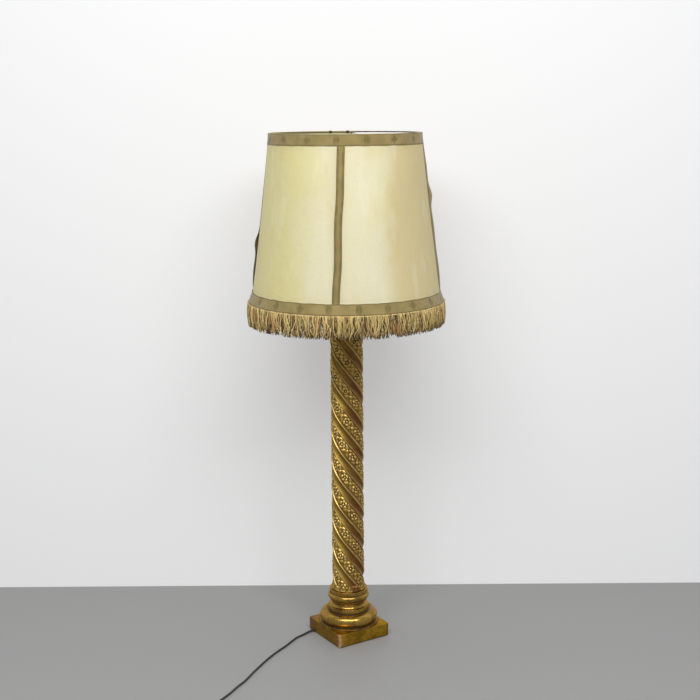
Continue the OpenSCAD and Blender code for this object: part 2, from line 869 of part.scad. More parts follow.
// A band that follows the wire frame's wall between two heights
module wall_band(z0, z1, inner, t, angle = 360) {
  rotate_extrude(angle = angle)
    polygon([
      [wall_r(z0) + inner, z0], [wall_r(z0) + inner + t, z0],
      [wall_r(z1) + inner + t, z1], [wall_r(z1) + inner, z1]
    ]);
}

// Panel k lies between the seams k and k + 1, counted from the back seam
module cover_panel(k) {
  half_gap = asin(panel_gap / 2 / bottom_ring_r);
  color("lemonchiffon")
    rotate([0, 0, seam_turn + 90 * k + half_gap])
      wall_band(cover_foot_z, shade_top_z, cover_in, cover_t / cos(wall_slope), 90 - 2 * half_gap);
}

module top_band() {
  color("darkkhaki") wall_band(top_band_z, shade_top_z, braid_in, braid_t);
}

module bottom_band() {
  color("darkkhaki")
    rotate_extrude()
      polygon([
        [band_r(band_foot_z), band_foot_z], [band_r(band_foot_z) + braid_t, band_foot_z],
        [band_r(band_top_z) + braid_t, band_top_z], [band_r(band_top_z), band_top_z]
      ]);
}

module seam_braid(k) {
  reach = 2 * bottom_ring_r;
  color("darkkhaki")
    rotate([0, 0, seam_turn + 90 * k])
      intersection() {
        wall_band(seam_foot_z, seam_head_z, braid_in, braid_t);
        translate([0, -seam_w / 2, seam_foot_z - cut_over])
          cube([reach, seam_w, seam_head_z - seam_foot_z + 2 * cut_over]);
      }
}

module fringe() {
  head_z = band_foot_z + fringe_tuck;
  head_in = wall_r(head_z) + cover_out + lap;
  foot_out = band_r(band_foot_z) + braid_t + fringe_spread;
  color("tan")
    rotate_extrude()
      polygon([
        [head_in, head_z], [wall_r(cover_foot_z) + cover_out + lap, cover_foot_z],
        [foot_out - fringe_t, fringe_z], [foot_out, fringe_z],
        [band_r(band_foot_z) - lap, band_foot_z - lap], [band_r(head_z) - lap, head_z]
      ]);
}

felt_pads();
plinth();
base_turning();
column_shaft();
capital();
cap_disc();
threaded_tube();
bottom_washer();
bottom_nut();
top_nut();
holder_cap();
holder_shell();
holder_insert();
screw_sleeve();
centre_contact();
terminal_screws();
cord_cores();
inner_cord();
cord_bush();
cord();
cord_coil();
cord_tail();
cord_tie();
plug_relief();
plug_body();
plug_pins();
switch_key();
switch_spindle();
bulb_contact();
bulb_insulator();
bulb_cap();
bulb_glass();
shade_ring_nut();
centre_ring();
spider_arms();
bottom_ring();
top_ring();
upright_wires();
cover_panel(0);  // cover_panel_back_left
cover_panel(1);  // cover_panel_front_left
cover_panel(2);  // cover_panel_front_right
cover_panel(3);  // cover_panel_back_right
top_band();
bottom_band();
seam_braid(0);  // seam_braid_back
seam_braid(1);  // seam_braid_left
seam_braid(2);  // seam_braid_front
seam_braid(3);  // seam_braid_right
fringe();
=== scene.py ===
# %% [markdown]
# # A candlestick floor lamp
# The lamp is a carved and gilded column with a spiral, on a turned base and a
# square plinth, with a tall parchment shade that is trimmed with braid and a
# yarn fringe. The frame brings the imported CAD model, in metres, with the floor
# at z = 0. Everything that is made here is placed in that same frame.

# %% Load the frame
import math

import bmesh
import bpy
import numpy as np
from mathutils import Matrix, Vector


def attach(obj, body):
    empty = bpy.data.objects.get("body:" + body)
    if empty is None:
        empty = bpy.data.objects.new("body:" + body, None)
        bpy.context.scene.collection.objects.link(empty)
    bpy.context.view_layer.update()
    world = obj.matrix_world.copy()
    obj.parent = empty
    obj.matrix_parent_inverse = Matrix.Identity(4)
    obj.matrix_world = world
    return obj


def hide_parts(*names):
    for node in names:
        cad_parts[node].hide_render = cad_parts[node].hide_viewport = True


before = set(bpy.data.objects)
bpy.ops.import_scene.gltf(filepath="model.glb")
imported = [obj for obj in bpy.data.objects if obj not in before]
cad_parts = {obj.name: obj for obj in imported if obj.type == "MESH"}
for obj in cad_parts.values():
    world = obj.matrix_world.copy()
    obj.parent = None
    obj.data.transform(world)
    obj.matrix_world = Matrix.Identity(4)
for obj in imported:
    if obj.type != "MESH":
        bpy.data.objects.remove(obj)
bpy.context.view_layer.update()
MM = 0.001
scene = bpy.context.scene
scene.view_settings.view_transform = "Standard"

# %% [markdown]
# ## The camera
# The photograph was taken at eye level, looking a little down, and the plinth
# is turned so that a corner points at the viewer. A camera can be fitted to a
# known square and a known height: here the plinth's corners, the shade's rings
# and the total height of 1.5 m gave the place, the tilt and the lens.

# %% Camera
CAMERA_PLACE = (-1.87397, -2.96433, 1.569)
CAMERA_TURN, CAMERA_TILT, CAMERA_ROLL = -32.457, 11.18, -0.388
CAMERA_LENS, SENSOR = 63.14, 36


def placed(name, data):
    """A new object with that data, in the scene."""
    thing = bpy.data.objects.new(name, data)
    scene.collection.objects.link(thing)
    return thing


camera_data = bpy.data.cameras.new("viewpoint")
camera_data.lens = CAMERA_LENS
camera_data.sensor_width = SENSOR
camera = placed("viewpoint", camera_data)
camera.matrix_world = (
    Matrix.Translation(CAMERA_PLACE)
    @ Matrix.Rotation(math.radians(CAMERA_TURN), 4, "Z")
    @ Matrix.Rotation(math.radians(90 - CAMERA_TILT), 4, "X")
    @ Matrix.Rotation(math.radians(CAMERA_ROLL), 4, "Z")
)
scene.camera = camera
TO_VIEWER = math.atan2(CAMERA_PLACE[1], CAMERA_PLACE[0])
print(f"camera {math.hypot(*CAMERA_PLACE[:2]):.3f} m from the lamp's axis")

# %% [markdown]
# ## The cord
# A mains cord has one length and one diameter, so it is made as a single curve
# with a round bevel, and never as loose bits. It leaves the plinth through a
# bush, drops to the floor and runs off in a lazy bend. The rest is wound into a
# flat coil of two layers: inwards on the floor, and outwards on top. Bezier
# points with automatic handles keep the bends round with few points. A curve's
# box counts the radius of its knots, so the thickness sits there, and the bevel
# is left at one metre, which each knot scales down.

# %% Cord route
CORD_D = 6 * MM
FLOOR_ROUTE = [
    (-91.4, 58, 6.5), (-104, 57, 6), (-117, 54.5, 4.6), (-130, 52, 3.4), (-144, 49, 3),
    (-158, 44.5, 3), (-171, 37.5, 3), (-184, 30, 3), (-197, 22, 3), (-211, 14, 3),
    (-225, 6.5, 3), (-240, -1, 3), (-255, -8.5, 3), (-270, -17, 3), (-285, -26, 3),
    (-300, -35, 3), (-314, -44.5, 3), (-328, -54, 3), (-342, -64, 3), (-356, -74, 3),
    (-370, -84, 3), (-384, -94.5, 3), (-398, -105.5, 3), (-412, -116, 3),
    (-426, -126, 3), (-440, -134, 3), (-454, -142, 3), (-468, -151.5, 3),
    (-482, -161, 3), (-497, -170, 3), (-512, -178.5, 3), (-528, -187, 3),
    (-544, -196, 3.1), (-560, -204.5, 3.4), (-576, -213, 3.8),
]
TAIL_ROUTE = [
    (-594, -295, 10.4), (-581, -303.5, 10.2), (-568, -312, 8.8), (-556, -320, 7.4),
    (-548, -325, 7),
]
COIL_CENTRE = (-570, -259)
COIL_START, COIL_TURNS = 119, 6.33
COIL_OUT, COIL_IN = 43.2, 24
COIL_LOW, COIL_HIGH = 4, 10.3
POINTS_A_TURN = 20
CLIMB_TURNS = 0.45


def coil_point(turn):
    """A point of the coil after so many turns: in on the floor, out on top."""
    half = COIL_TURNS / 2
    inward = 1 - min(abs(turn - half) / half, 1)
    radius = COIL_OUT + (COIL_IN - COIL_OUT) * inward
    climb = np.clip((turn - half) / CLIMB_TURNS + 0.5, 0, 1)
    climb = climb * climb * (3 - 2 * climb)
    angle = math.radians(COIL_START + 360 * turn)
    x = COIL_CENTRE[0] + radius * math.cos(angle)
    y = COIL_CENTRE[1] + radius * math.sin(angle)
    return (x, y, COIL_LOW + (COIL_HIGH - COIL_LOW) * climb)


coil_steps = int(COIL_TURNS * POINTS_A_TURN)
coil_route = [coil_point(COIL_TURNS * k / coil_steps) for k in range(coil_steps)]
cord_route = FLOOR_ROUTE + coil_route + TAIL_ROUTE
print("cord points", len(cord_route))

# %% Cord curve
def cord_curve(name, route, diameter):
    """One open round curve through the points, which are in millimetres."""
    data = bpy.data.curves.new(name, "CURVE")
    data.dimensions = "3D"
    data.bevel_depth = 1
    data.bevel_resolution = 4
    data.resolution_u = 5
    data.use_fill_caps = True
    spline = data.splines.new("BEZIER")
    spline.bezier_points.add(len(route) - 1)
    for knot, place in zip(spline.bezier_points, route):
        knot.co = Vector(place) * MM
        knot.radius = diameter / 2
        knot.handle_left_type = knot.handle_right_type = "AUTO"
    return placed(name, data)


mains_cord = cord_curve("mains_cord", cord_route, CORD_D)
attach(mains_cord, "stand")
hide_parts("cord", "cord_coil", "cord_tail")

# %% [markdown]
# ## Floor, backdrop and light
# The lamp stands close to a white wall, on a pale grey floor, in soft light that
# comes from above the viewer. A long and low area light gives the gilding its
# thin bright lines, and the world fills the shadows. The wall glows a little, as
# a lit backdrop does, so the lamp's shadow on it stays faint. It has one side:
# from behind it is clear, so that the lamp can be looked at from all round.

# %% Stage
WALL_BEHIND = 0.375
WALL_SIZE = (16, 6)
FLOOR_SIZE = 16
FLOOR_GREY = (0.284, 0.284, 0.281, 1)
WALL_WHITE, WALL_GLOW = (0.525, 0.525, 0.525, 1), 0.328
view_turn = math.radians(CAMERA_TURN)
view_ahead = Vector((-math.sin(view_turn), math.cos(view_turn), 0))


def flat_stage(name, corners, colour, rough):
    """A flat staged sheet that isn't part of the lamp."""
    mesh = bpy.data.meshes.new(name)
    mesh.from_pydata(corners, [], [(0, 1, 2, 3)])
    sheet = placed(name, mesh)
    paint = bpy.data.materials.new(name)
    paint.use_nodes = True
    skin = paint.node_tree.nodes["Principled BSDF"]
    skin.inputs["Base Color"].default_value = colour
    skin.inputs["Roughness"].default_value = rough
    mesh.materials.append(paint)
    return paint


half_floor = FLOOR_SIZE / 2
flat_stage(
    "studio_floor",
    [(-half_floor, -half_floor, 0), (half_floor, -half_floor, 0),
     (half_floor, half_floor, 0), (-half_floor, half_floor, 0)],
    FLOOR_GREY, 0.55,
)
along = Vector((view_ahead.y, -view_ahead.x, 0)) * WALL_SIZE[0] / 2
foot = view_ahead * WALL_BEHIND
rise = Vector((0, 0, WALL_SIZE[1]))
wall_paint = flat_stage(
    "studio_wall",
    [foot - along, foot + along, foot + along + rise, foot - along + rise],
    WALL_WHITE, 0.9,
)

# %% One-sided wall that glows
tree = wall_paint.node_tree
wall_skin = tree.nodes["Principled BSDF"]
wall_skin.inputs["Emission Color"].default_value = (1, 1, 1, 1)
wall_skin.inputs["Emission Strength"].default_value = WALL_GLOW
facing = tree.nodes.new("ShaderNodeNewGeometry")
clear = tree.nodes.new("ShaderNodeBsdfTransparent")
either = tree.nodes.new("ShaderNodeMixShader")
tree.links.new(facing.outputs["Backfacing"], either.inputs["Fac"])
tree.links.new(wall_skin.outputs["BSDF"], either.inputs[1])
tree.links.new(clear.outputs["BSDF"], either.inputs[2])
tree.links.new(either.outputs["Shader"], tree.nodes["Material Output"].inputs["Surface"])

# %% Lights
WORLD_LIGHT = 0.45
KEY_POWER, KEY_SIZE = 106, (3.6, 1.1)
KEY_AWAY, KEY_HEIGHT, KEY_AIM = 2.26, 3.05, 0.8

studio = bpy.data.worlds.new("studio")
studio.use_nodes = True
scene.world = studio
glow = studio.node_tree.nodes["Background"]
glow.inputs["Color"].default_value = (0.97, 0.98, 1, 1)
glow.inputs["Strength"].default_value = WORLD_LIGHT

key_data = bpy.data.lights.new("key", "AREA")
key_data.shape = "RECTANGLE"
key_data.size, key_data.size_y = KEY_SIZE
key_data.energy = KEY_POWER
key = placed("key", key_data)
key.location = Vector((0, 0, KEY_HEIGHT)) - view_ahead * KEY_AWAY
key_ray = Vector((0, 0, KEY_AIM)) - key.location
key.rotation_mode = "QUATERNION"
key.rotation_quaternion = key_ray.to_track_quat("-Z", "Y")
key.visible_camera = False
print(f"key light {key_ray.length:.2f} m from the lamp")

# %% [markdown]
# ## Making pieces from rings of points
# Most of the lamp is round or wraps round the axis, so its surfaces can be laid
# out as rows of points and joined by quads. Numpy works out all the points at
# once, which keeps carving with a hundred thousand faces fast. Each piece is
# then linked, told which body it rides on, and given its finish.

# %% Piece maker
def ring_quads(rows, columns, closed=False):
    """Quads between rings of points. A closed stack joins its last ring to its first."""
    row, column = np.meshgrid(
        np.arange(rows if closed else rows - 1), np.arange(columns), indexing="ij"
    )
    above, beside = (row + 1) % rows, (column + 1) % columns
    corners = [
        row * columns + column, row * columns + beside,
        above * columns + beside, above * columns + column,
    ]
    return np.stack(corners, axis=-1).reshape(-1, 4)


def even_turns(count):
    """So many turns in radians, evenly spaced once round."""
    return np.arange(count) * math.tau / count


def spun(r, t, z):
    """Points from a distance off the axis, a turn in radians and a height."""
    return np.stack(np.broadcast_arrays(r * np.cos(t), r * np.sin(t), z), -1)


def carry(mesh, facts):
    """Gives a mesh numbers at its points, which the finish reads."""
    for fact, values in facts.items():
        layer = mesh.attributes.get(fact) or mesh.attributes.new(fact, "FLOAT", "POINT")
        layer.data.foreach_set("value", np.asarray(values, np.float32).ravel())


def make_piece(name, points, faces, finish, body, replaces=(), facts=None, crease=50):
    """A mesh object in the lamp's frame, with its numbers for the finish in facts."""
    mesh = bpy.data.meshes.new(name)
    mesh.from_pydata(np.asarray(points).tolist(), [], np.asarray(faces).tolist())
    mesh.polygons.foreach_set("use_smooth", np.ones(len(mesh.polygons), bool))
    mesh.set_sharp_from_angle(angle=math.radians(crease))
    carry(mesh, facts or {})
    mesh.materials.append(finish)
    piece = placed(name, mesh)
    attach(piece, body)
    if replaces:
        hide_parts(*replaces)
    print(f"{name}: {len(mesh.polygons)} faces")
    return piece


# %% Random shapes that are the same each run
def ripple(seed, scale, *axes, waves=14):
    """Smooth random heights, about 1 in size, from waves through the given places."""
    draw = np.random.default_rng(seed)
    total = 0
    for _ in range(waves):
        way = draw.normal(size=len(axes))
        way /= np.linalg.norm(way)
        length = scale * draw.uniform(0.6, 1.7)
        along_way = sum(part * axis for part, axis in zip(way, axes))
        total = total + np.sin(along_way * math.tau / length + draw.uniform(0, math.tau))
    return total / math.sqrt(waves / 2)


def ease(x, low, high):
    """0 below low and 1 above high, with a soft start and end."""
    t = np.clip((x - low) / (high - low), 0, 1)
    return t * t * (3 - 2 * t)


def hump(away, reach):
    """1 where away is 0, and softly less over the reach."""
    return np.exp(-((away / reach) ** 2))


# %% [markdown]
# ## Finishes
# A finish is one Principled shader with a few textures behind it. The class
# keeps each finish short to write: it adds nodes, joins them, and reads the
# numbers that a mesh carries, such as how worn or how hollow a place is. All
# patterns are laid in the lamp's own frame, so they keep their size in
# millimetres, and they stay put when a part turns.

# %% Finish class
class Finish:
    """A material with short calls for its nodes. Sizes of patterns are in metres."""

    def __init__(self, name, **sockets):
        self.paint = bpy.data.materials.new(name)
        self.paint.use_nodes = True
        self.tree = self.paint.node_tree
        self.skin = self.tree.nodes["Principled BSDF"]
        self.place = self.add("TexCoord").outputs["Object"]
        for socket, value in sockets.items():
            self.give(socket.replace("_", " "), value)

    def add(self, kind, **settings):
        node = self.tree.nodes.new("ShaderNode" + kind)
        for setting, value in settings.items():
            setattr(node, setting, value)
        return node

    def join(self, value, socket):
        """Links a node's output to a socket, or sets the socket to a plain value."""
        if isinstance(value, bpy.types.NodeSocket):
            self.tree.links.new(value, socket)
        elif isinstance(value, tuple) and len(value) == 3 and socket.type == "RGBA":
            socket.default_value = (*value, 1)
        else:
            socket.default_value = value

    def give(self, socket, value):
        self.join(value, self.skin.inputs[socket])

    def noise(self, size, detail=3.0, rough=0.55, place=None, stretch=None, twist=0.0):
        """Soft noise from 0 to 1, with patches of about that size."""
        place = self.place if place is None else place
        if stretch:
            turned = self.add("Mapping")
            self.join(place, turned.inputs["Vector"])
            turned.inputs["Scale"].default_value = stretch
            place = turned.outputs["Vector"]
        node = self.add("TexNoise")
        self.join(place, node.inputs["Vector"])
        node.inputs["Scale"].default_value = 1 / size
        node.inputs["Detail"].default_value = detail
        node.inputs["Roughness"].default_value = rough
        node.inputs["Distortion"].default_value = twist
        return node.outputs["Fac"]

    def cells(self, size, feature="F1", place=None):
        """Distance to the nearest of many scattered points, or between them."""
        node = self.add("TexVoronoi", feature=feature)
        self.join(self.place if place is None else place, node.inputs["Vector"])
        node.inputs["Scale"].default_value = 1 / size
        return node.outputs["Distance"]

    def fact(self, name):
        return self.add("Attribute", attribute_name=name).outputs["Fac"]

    def number(self, way, a, b=0.0, c=None):
        node = self.add("Math", operation=way)
        self.join(a, node.inputs[0])
        self.join(b, node.inputs[1])
        if c is not None:
            self.join(c, node.inputs[2])
        return node.outputs[0]

    def times(self, a, b):
        return self.number("MULTIPLY", a, b)

    def most(self, a, b):
        return self.number("MAXIMUM", a, b)

    def scaled(self, a, by, plus):
        """a times by, plus a third number."""
        return self.number("MULTIPLY_ADD", a, by, plus)

    def span(self, value, low, high, out_low=0.0, out_high=1.0):
        """Stretches the values from low to high, and holds them beyond."""
        node = self.add("MapRange", interpolation_type="SMOOTHSTEP")
        limits = ("From Min", low), ("From Max", high), ("To Min", out_low), ("To Max", out_high)
        for socket, limit in limits:
            node.inputs[socket].default_value = limit
        self.join(value, node.inputs["Value"])
        return node.outputs["Result"]

    def mix(self, share, a, b, way="MIX"):
        """Colour a, going over to colour b as the share goes to 1."""
        node = self.add("Mix", data_type="RGBA", blend_type=way)
        self.join(share, node.inputs["Factor"])
        self.join(a, node.inputs[6])
        self.join(b, node.inputs[7])
        return node.outputs[2]

    def near(self, spot, reach):
        """1 at a spot of the lamp, in metres, falling to 0 at its reach."""
        away = self.add("VectorMath", operation="DISTANCE")
        self.join(self.place, away.inputs[0])
        away.inputs[1].default_value = spot
        return self.span(away.outputs["Value"], reach, reach * 0.3)

    def ahead(self, angle):
        """The distance from the lamp's axis, measured one way, in metres."""
        ahead = self.add("VectorMath", operation="DOT_PRODUCT")
        self.join(self.place, ahead.inputs[0])
        ahead.inputs[1].default_value = (math.cos(angle), math.sin(angle), 0)
        return ahead.outputs["Value"]

    def bump(self, height, depth, under=None):
        """Bends the shading by a height from 0 to 1 that is so many metres deep."""
        node = self.add("Bump")
        node.inputs["Distance"].default_value = depth
        self.join(height, node.inputs["Height"])
        if under is not None:
            self.join(under, node.inputs["Normal"])
        return node.outputs["Normal"]


# %% [markdown]
# ## Old gilding
# Gold leaf is laid over a red clay called bole, on gesso on wood. With age the
# hollows fill with brown wax, the high places rub through to the red, and fine
# cracks cross the leaf. The hollows also get painted shade, the high places of the
# carving a pale painted highlight, and the carving's flutes and the side turned
# from the light a painted shade of brown and dark red. One recipe serves the three
# gilded parts, with other numbers for each: metal where the leaf is whole, and
# dull where it is gone.

# %% Gilding recipe
# A way round the lamp, turned 62 degrees from the viewer and the light, and the dark red of the
# painted shade that is laid on that side.
SHADED_SIDE_WAY = TO_VIEWER + math.radians(62)
RED_SIDE_SHADE = (0.150, 0.046, 0.010)
# A pale leaf for the high places of the carving: partly leaf worn thin, partly a painted highlight.
PALE_LEAF_AND_HIGHLIGHT = (0.80, 0.60, 0.25)
# The brown of the painted shade in the flutes.
FLUTE_SHADE_BROWN = (0.200, 0.125, 0.020)
BARE_WOOD = (0.52, 0.28, 0.15)
BOLE = (0.26, 0.085, 0.040)
BOLE_DARK = (0.095, 0.026, 0.014)
# Brown of the wax in the hollows, also used as painted shade there.
WAX_AND_SHADE = (0.050, 0.030, 0.008)
GRAZING_TINT = (0.95, 0.74, 0.42)


def gilding(name, leaf, leaf_deep, shine, waxed_and_shaded, rubbed, rust=(), shaded_side=0.0, coat=0.1,
            paled_and_highlit=0.0, dented=0.00030):
    """Leaf, wax and painted shade in the hollows, and bole on the high places. rust lists
    spots rubbed through to the clay: place in metres, reach, and colour. The high places
    can go pale, partly leaf worn thin and partly a painted highlight, and painted shade
    can darken the flutes and the side that is turned from the light."""
    gilt = Finish(name, Coat_Weight=coat, Coat_Roughness=0.16, Coat_IOR=1.45)
    gilt.give("Specular Tint", GRAZING_TINT)
    cloud = gilt.noise(0.045, detail=5, twist=0.6)
    grain = gilt.noise(0.006, detail=6, rough=0.65)
    hollow = gilt.fact("hollow")
    worn = gilt.fact("worn")

    mottled = gilt.scaled(grain, 0.45, gilt.times(cloud, 0.6))
    colour = gilt.mix(gilt.span(mottled, 0.40, 0.66), leaf_deep, leaf)
    # The hollows darken: partly wax, partly painted shade.
    wax_and_shade_share = gilt.scaled(grain, 0.5, hollow)
    wax_and_shade_share = gilt.span(wax_and_shade_share, 0.42, 1.05, 0.0, waxed_and_shaded)
    colour = gilt.mix(wax_and_shade_share, colour, WAX_AND_SHADE)

    patch = gilt.noise(0.017, detail=5, rough=0.62, twist=0.4)
    bare = gilt.scaled(worn, 0.34, patch)
    bare = gilt.span(bare, 0.93 - rubbed, 1.03 - rubbed)
    clay = gilt.mix(gilt.span(grain, 0.35, 0.6), BOLE_DARK, BOLE)
    colour = gilt.mix(bare, colour, clay)
    # High places go pale: partly leaf worn thin, partly a painted highlight.
    pale = gilt.span(worn, 0.25, 0.95, 0.0, paled_and_highlit)
    colour = gilt.mix(pale, colour, PALE_LEAF_AND_HIGHLIGHT)
    dull = gilt.most(gilt.times(wax_and_shade_share, 0.62), bare)
    dull = gilt.most(dull, gilt.times(pale, 0.45))
    if shaded_side:
        # Painted shade: the flutes darken to brown.
        shadowed = gilt.times(gilt.fact("smooth"), 0.62)
        colour = gilt.mix(shadowed, colour, FLUTE_SHADE_BROWN)
        dull = gilt.most(dull, gilt.times(shadowed, 0.55))
        # Painted shade: dark red on the side that is turned from the light, strongest in the
        # flutes.
        side = gilt.span(gilt.ahead(SHADED_SIDE_WAY), 0.000, 0.040)
        side = gilt.times(side, gilt.span(cloud, 0.30, 0.58, 0.35, shaded_side))
        smooth = gilt.scaled(gilt.fact("smooth"), 0.70, 0.30)
        side = gilt.times(side, smooth)
        colour = gilt.mix(side, colour, RED_SIDE_SHADE)
        dull = gilt.most(dull, gilt.times(side, 0.22))
    chipped = gilt.times(gilt.fact("corner"), gilt.span(patch, 0.36, 0.50))
    colour = gilt.mix(chipped, colour, BARE_WOOD)
    dull = gilt.most(dull, chipped)
    for spot, reach, tint in rust:
        here = gilt.times(gilt.near(spot, reach), gilt.span(patch, 0.3, 0.5))
        colour = gilt.mix(here, colour, tint)
        dull = gilt.most(dull, gilt.times(here, 0.8))

    gilt.give("Base Color", colour)
    gilt.give("Metallic", gilt.scaled(dull, -0.95, 0.97))
    rough = gilt.scaled(grain, 0.22, shine - 0.11)
    gilt.give("Roughness", gilt.scaled(dull, 0.26, rough))
    cracks = gilt.span(gilt.cells(0.009, "DISTANCE_TO_EDGE"), 0.0, 0.035)
    fine = gilt.bump(cracks, 0.00005)
    gilt.give("Normal", gilt.bump(grain, dented, fine))
    return gilt.paint


carving_gilt = gilding(
    "gilded_carving", (0.52, 0.325, 0.048), (0.275, 0.165, 0.022), 0.33, 0.93, 0.10,
    shaded_side=0.95, coat=0.22, paled_and_highlit=0.62,
)
print("gilding ready")

# %% [markdown]
# ## The carved shaft
# The shaft is a round column with four left-handed spirals. Each spiral has a
# smooth flute, a thin rounded ridge, and a wide band carved with rosettes,
# leaves and beads. A plain cylinder grid would cut across the spiral and blur
# it, so the grid's columns follow the spiral. Every point then knows how far it
# is along and across its band, and the carver's pattern is a height over those
# two numbers. The small shifts and turns of each rosette are drawn from a fixed
# seed, because a hand never carves two alike.

# %% Shaft grid
SHAFT_FOOT, SHAFT_TALL, SHAFT_R = 146.3, 800, 47.5
SPIRAL_PITCH, STARTS, FLUTE_TURN = 354, 4, 78.0
FLUTE_END, RIDGE_END, GROOVE_END, BAND_END = 0.345, 0.412, 0.435, 0.965
ROW_STEP = 1.55

one_start = np.concatenate([
    np.linspace(0, FLUTE_END, 8, endpoint=False),
    np.linspace(FLUTE_END, RIDGE_END, 4, endpoint=False),
    np.linspace(RIDGE_END, GROOVE_END, 2, endpoint=False),
    np.linspace(GROOVE_END, BAND_END, 28, endpoint=False),
    np.linspace(BAND_END, 1, 3, endpoint=False),
])
band_number = np.repeat(np.arange(STARTS), len(one_start))
phase = np.tile(one_start, STARTS)
section_turn = np.radians(90.0 * (band_number + phase))
shaft_rows = int(SHAFT_TALL / ROW_STEP)
height_row = np.linspace(0, SHAFT_TALL, shaft_rows)
height = np.repeat(height_row[:, None], len(phase), axis=1)
turn = np.radians(FLUTE_TURN) + section_turn[None, :] - math.tau * height / SPIRAL_PITCH
print("shaft grid", height.shape)

# %% Places along and across a band
rise_per_arc = SHAFT_R * math.tau / SPIRAL_PITCH
lean = math.hypot(1, rise_per_arc)
band_arc = SHAFT_R * np.radians(90.0) * (phase - GROOVE_END)
across = np.repeat((band_arc / lean)[None, :], shaft_rows, axis=0)
spiral_along = lean * height - rise_per_arc / lean * band_arc[None, :]
band_wide = SHAFT_R * math.radians(90) * (BAND_END - GROOVE_END) / lean
print(f"carved band {band_wide:.1f} mm wide, {lean * SHAFT_TALL:.0f} mm long")

# %% Rosettes, leaves and beads
MOTIF_STEP, ROSE_R, ROSE_KNOBS = 50.0, 8.6, 5
KNOB_R, HEART_R, CUP_R, BEAD_R = 5.2, 2.9, 13.2, 4.8
PIT_WIDE, PIT_DEEP, RING_PIT_DEEP = 1.5, 1.0, 2.4
KNOB_TALL, HEART_TALL, CUP_TALL, LEAF_TALL, BEAD_TALL = 3.6, 3.2, 0.5, 2.6, 4.4
LEAF_AWAY, LEAF_SIDE, LEAF_LONG, LEAF_WIDE, LEAF_LEAN = 8.8, 6.8, 9.8, 5.0, 0.5
carver = np.random.default_rng(31)
start_along = carver.uniform(0, MOTIF_STEP, STARTS)[band_number][None, :]
place_along = (spiral_along - start_along) / MOTIF_STEP
motif = np.round(place_along).astype(int)
motif_key = (motif - motif.min(), np.broadcast_to(band_number[None, :], motif.shape))
motif_count = (motif.max() - motif.min() + 2, STARTS)


def by_hand(size):
    """The carver's slip for each rosette, the same over all its points."""
    return carver.normal(0, size, motif_count)[motif_key]


def dome(away, reach):
    """A round knob: 1 in its middle and 0 at its reach."""
    return np.sqrt(np.clip(1 - (away / reach) ** 2, 0, None))


from_rose_s = (place_along - motif) * MOTIF_STEP + by_hand(1.1)
from_rose_w = across - band_wide / 2 + by_hand(0.7)
rose_size = 1 + by_hand(0.06)
rose_turn = np.arctan2(from_rose_w, from_rose_s) + by_hand(0.5)
rose_away = np.hypot(from_rose_s, from_rose_w) / rose_size
knob_turn = (rose_turn * ROSE_KNOBS / math.tau) % 1 - 0.5
knob_side = knob_turn * math.tau / ROSE_KNOBS * ROSE_R
carving = CUP_TALL * ease(rose_away, CUP_R + 1.4, CUP_R - 1.4)
carving = np.maximum(carving, KNOB_TALL * dome(np.hypot(rose_away - ROSE_R, knob_side), KNOB_R))

gap_s = (place_along - np.floor(place_along) - 0.5) * MOTIF_STEP
gap_w = across - band_wide / 2
for side_s in (-1, 1):
    for side_w in (-1, 1):
        leaf_s, leaf_w = gap_s - side_s * LEAF_AWAY, gap_w - side_w * LEAF_SIDE
        tilt = side_s * side_w * LEAF_LEAN
        x = (leaf_s * math.cos(tilt) + leaf_w * math.sin(tilt)) / LEAF_LONG
        y = (leaf_w * math.cos(tilt) - leaf_s * math.sin(tilt)) / LEAF_WIDE
        half = np.clip(1 - x * x, 0, None) ** 0.7
        leaf = LEAF_TALL * dome(y, np.maximum(half, 1e-3)) * (half > 0)
        leaf -= 0.4 * hump(y, 0.16) * (half > 0.25)
        carving = np.maximum(carving, leaf)
bead_away = np.hypot(gap_s, gap_w)
ring_pit = hump(rose_away - HEART_R - PIT_WIDE, PIT_WIDE)
pit = hump(rose_away - CUP_R, PIT_WIDE)
pit = pit + hump(bead_away - BEAD_R - PIT_WIDE, PIT_WIDE)
carving = carving - PIT_DEEP * np.clip(pit, 0, 1) - RING_PIT_DEEP * ring_pit
carving = np.maximum(carving, HEART_TALL * dome(rose_away, HEART_R))
carving = np.maximum(carving, BEAD_TALL * dome(bead_away, BEAD_R))

# %% Shaft surface
FLUTE_R, FLUTE_DEEP, RIDGE_R, GROUND_R, EDGE_R, GROOVE_R = 46.9, 5.6, 48.3, 43.9, 46.6, 44.2
GROUND_BOW = 1.5
ring_phase = np.broadcast_to(phase[None, :], height.shape)
in_flute = ring_phase < FLUTE_END
in_ridge = (ring_phase >= FLUTE_END) & (ring_phase < RIDGE_END)
in_groove = (ring_phase >= RIDGE_END) & (ring_phase < GROOVE_END)
in_band = (ring_phase >= GROOVE_END) & (ring_phase < BAND_END)
ridge_bow = np.sin(math.pi * (ring_phase - FLUTE_END) / (RIDGE_END - FLUTE_END))
flute_bow = np.sin(math.pi * ring_phase / FLUTE_END)
x_mm, y_mm = SHAFT_R * np.cos(turn), SHAFT_R * np.sin(turn)
stipple = ripple(5, 3.2, x_mm, y_mm, height, waves=18)
edge_fade = ease(across, 0, 1.6) * (1 - ease(across, band_wide - 1.6, band_wide))
radius = np.full(height.shape, EDGE_R)
radius = np.where(in_flute, FLUTE_R - FLUTE_DEEP * flute_bow, radius)
radius = np.where(in_ridge, FLUTE_R + (RIDGE_R - FLUTE_R) * np.clip(ridge_bow, 0, 1), radius)
radius = np.where(in_groove, GROOVE_R, radius)
ground = GROUND_R + GROUND_BOW * np.sin(math.pi * np.clip(across / band_wide, 0, 1))
carved = np.clip(ground + carving * edge_fade, 0, RIDGE_R + 0.4)
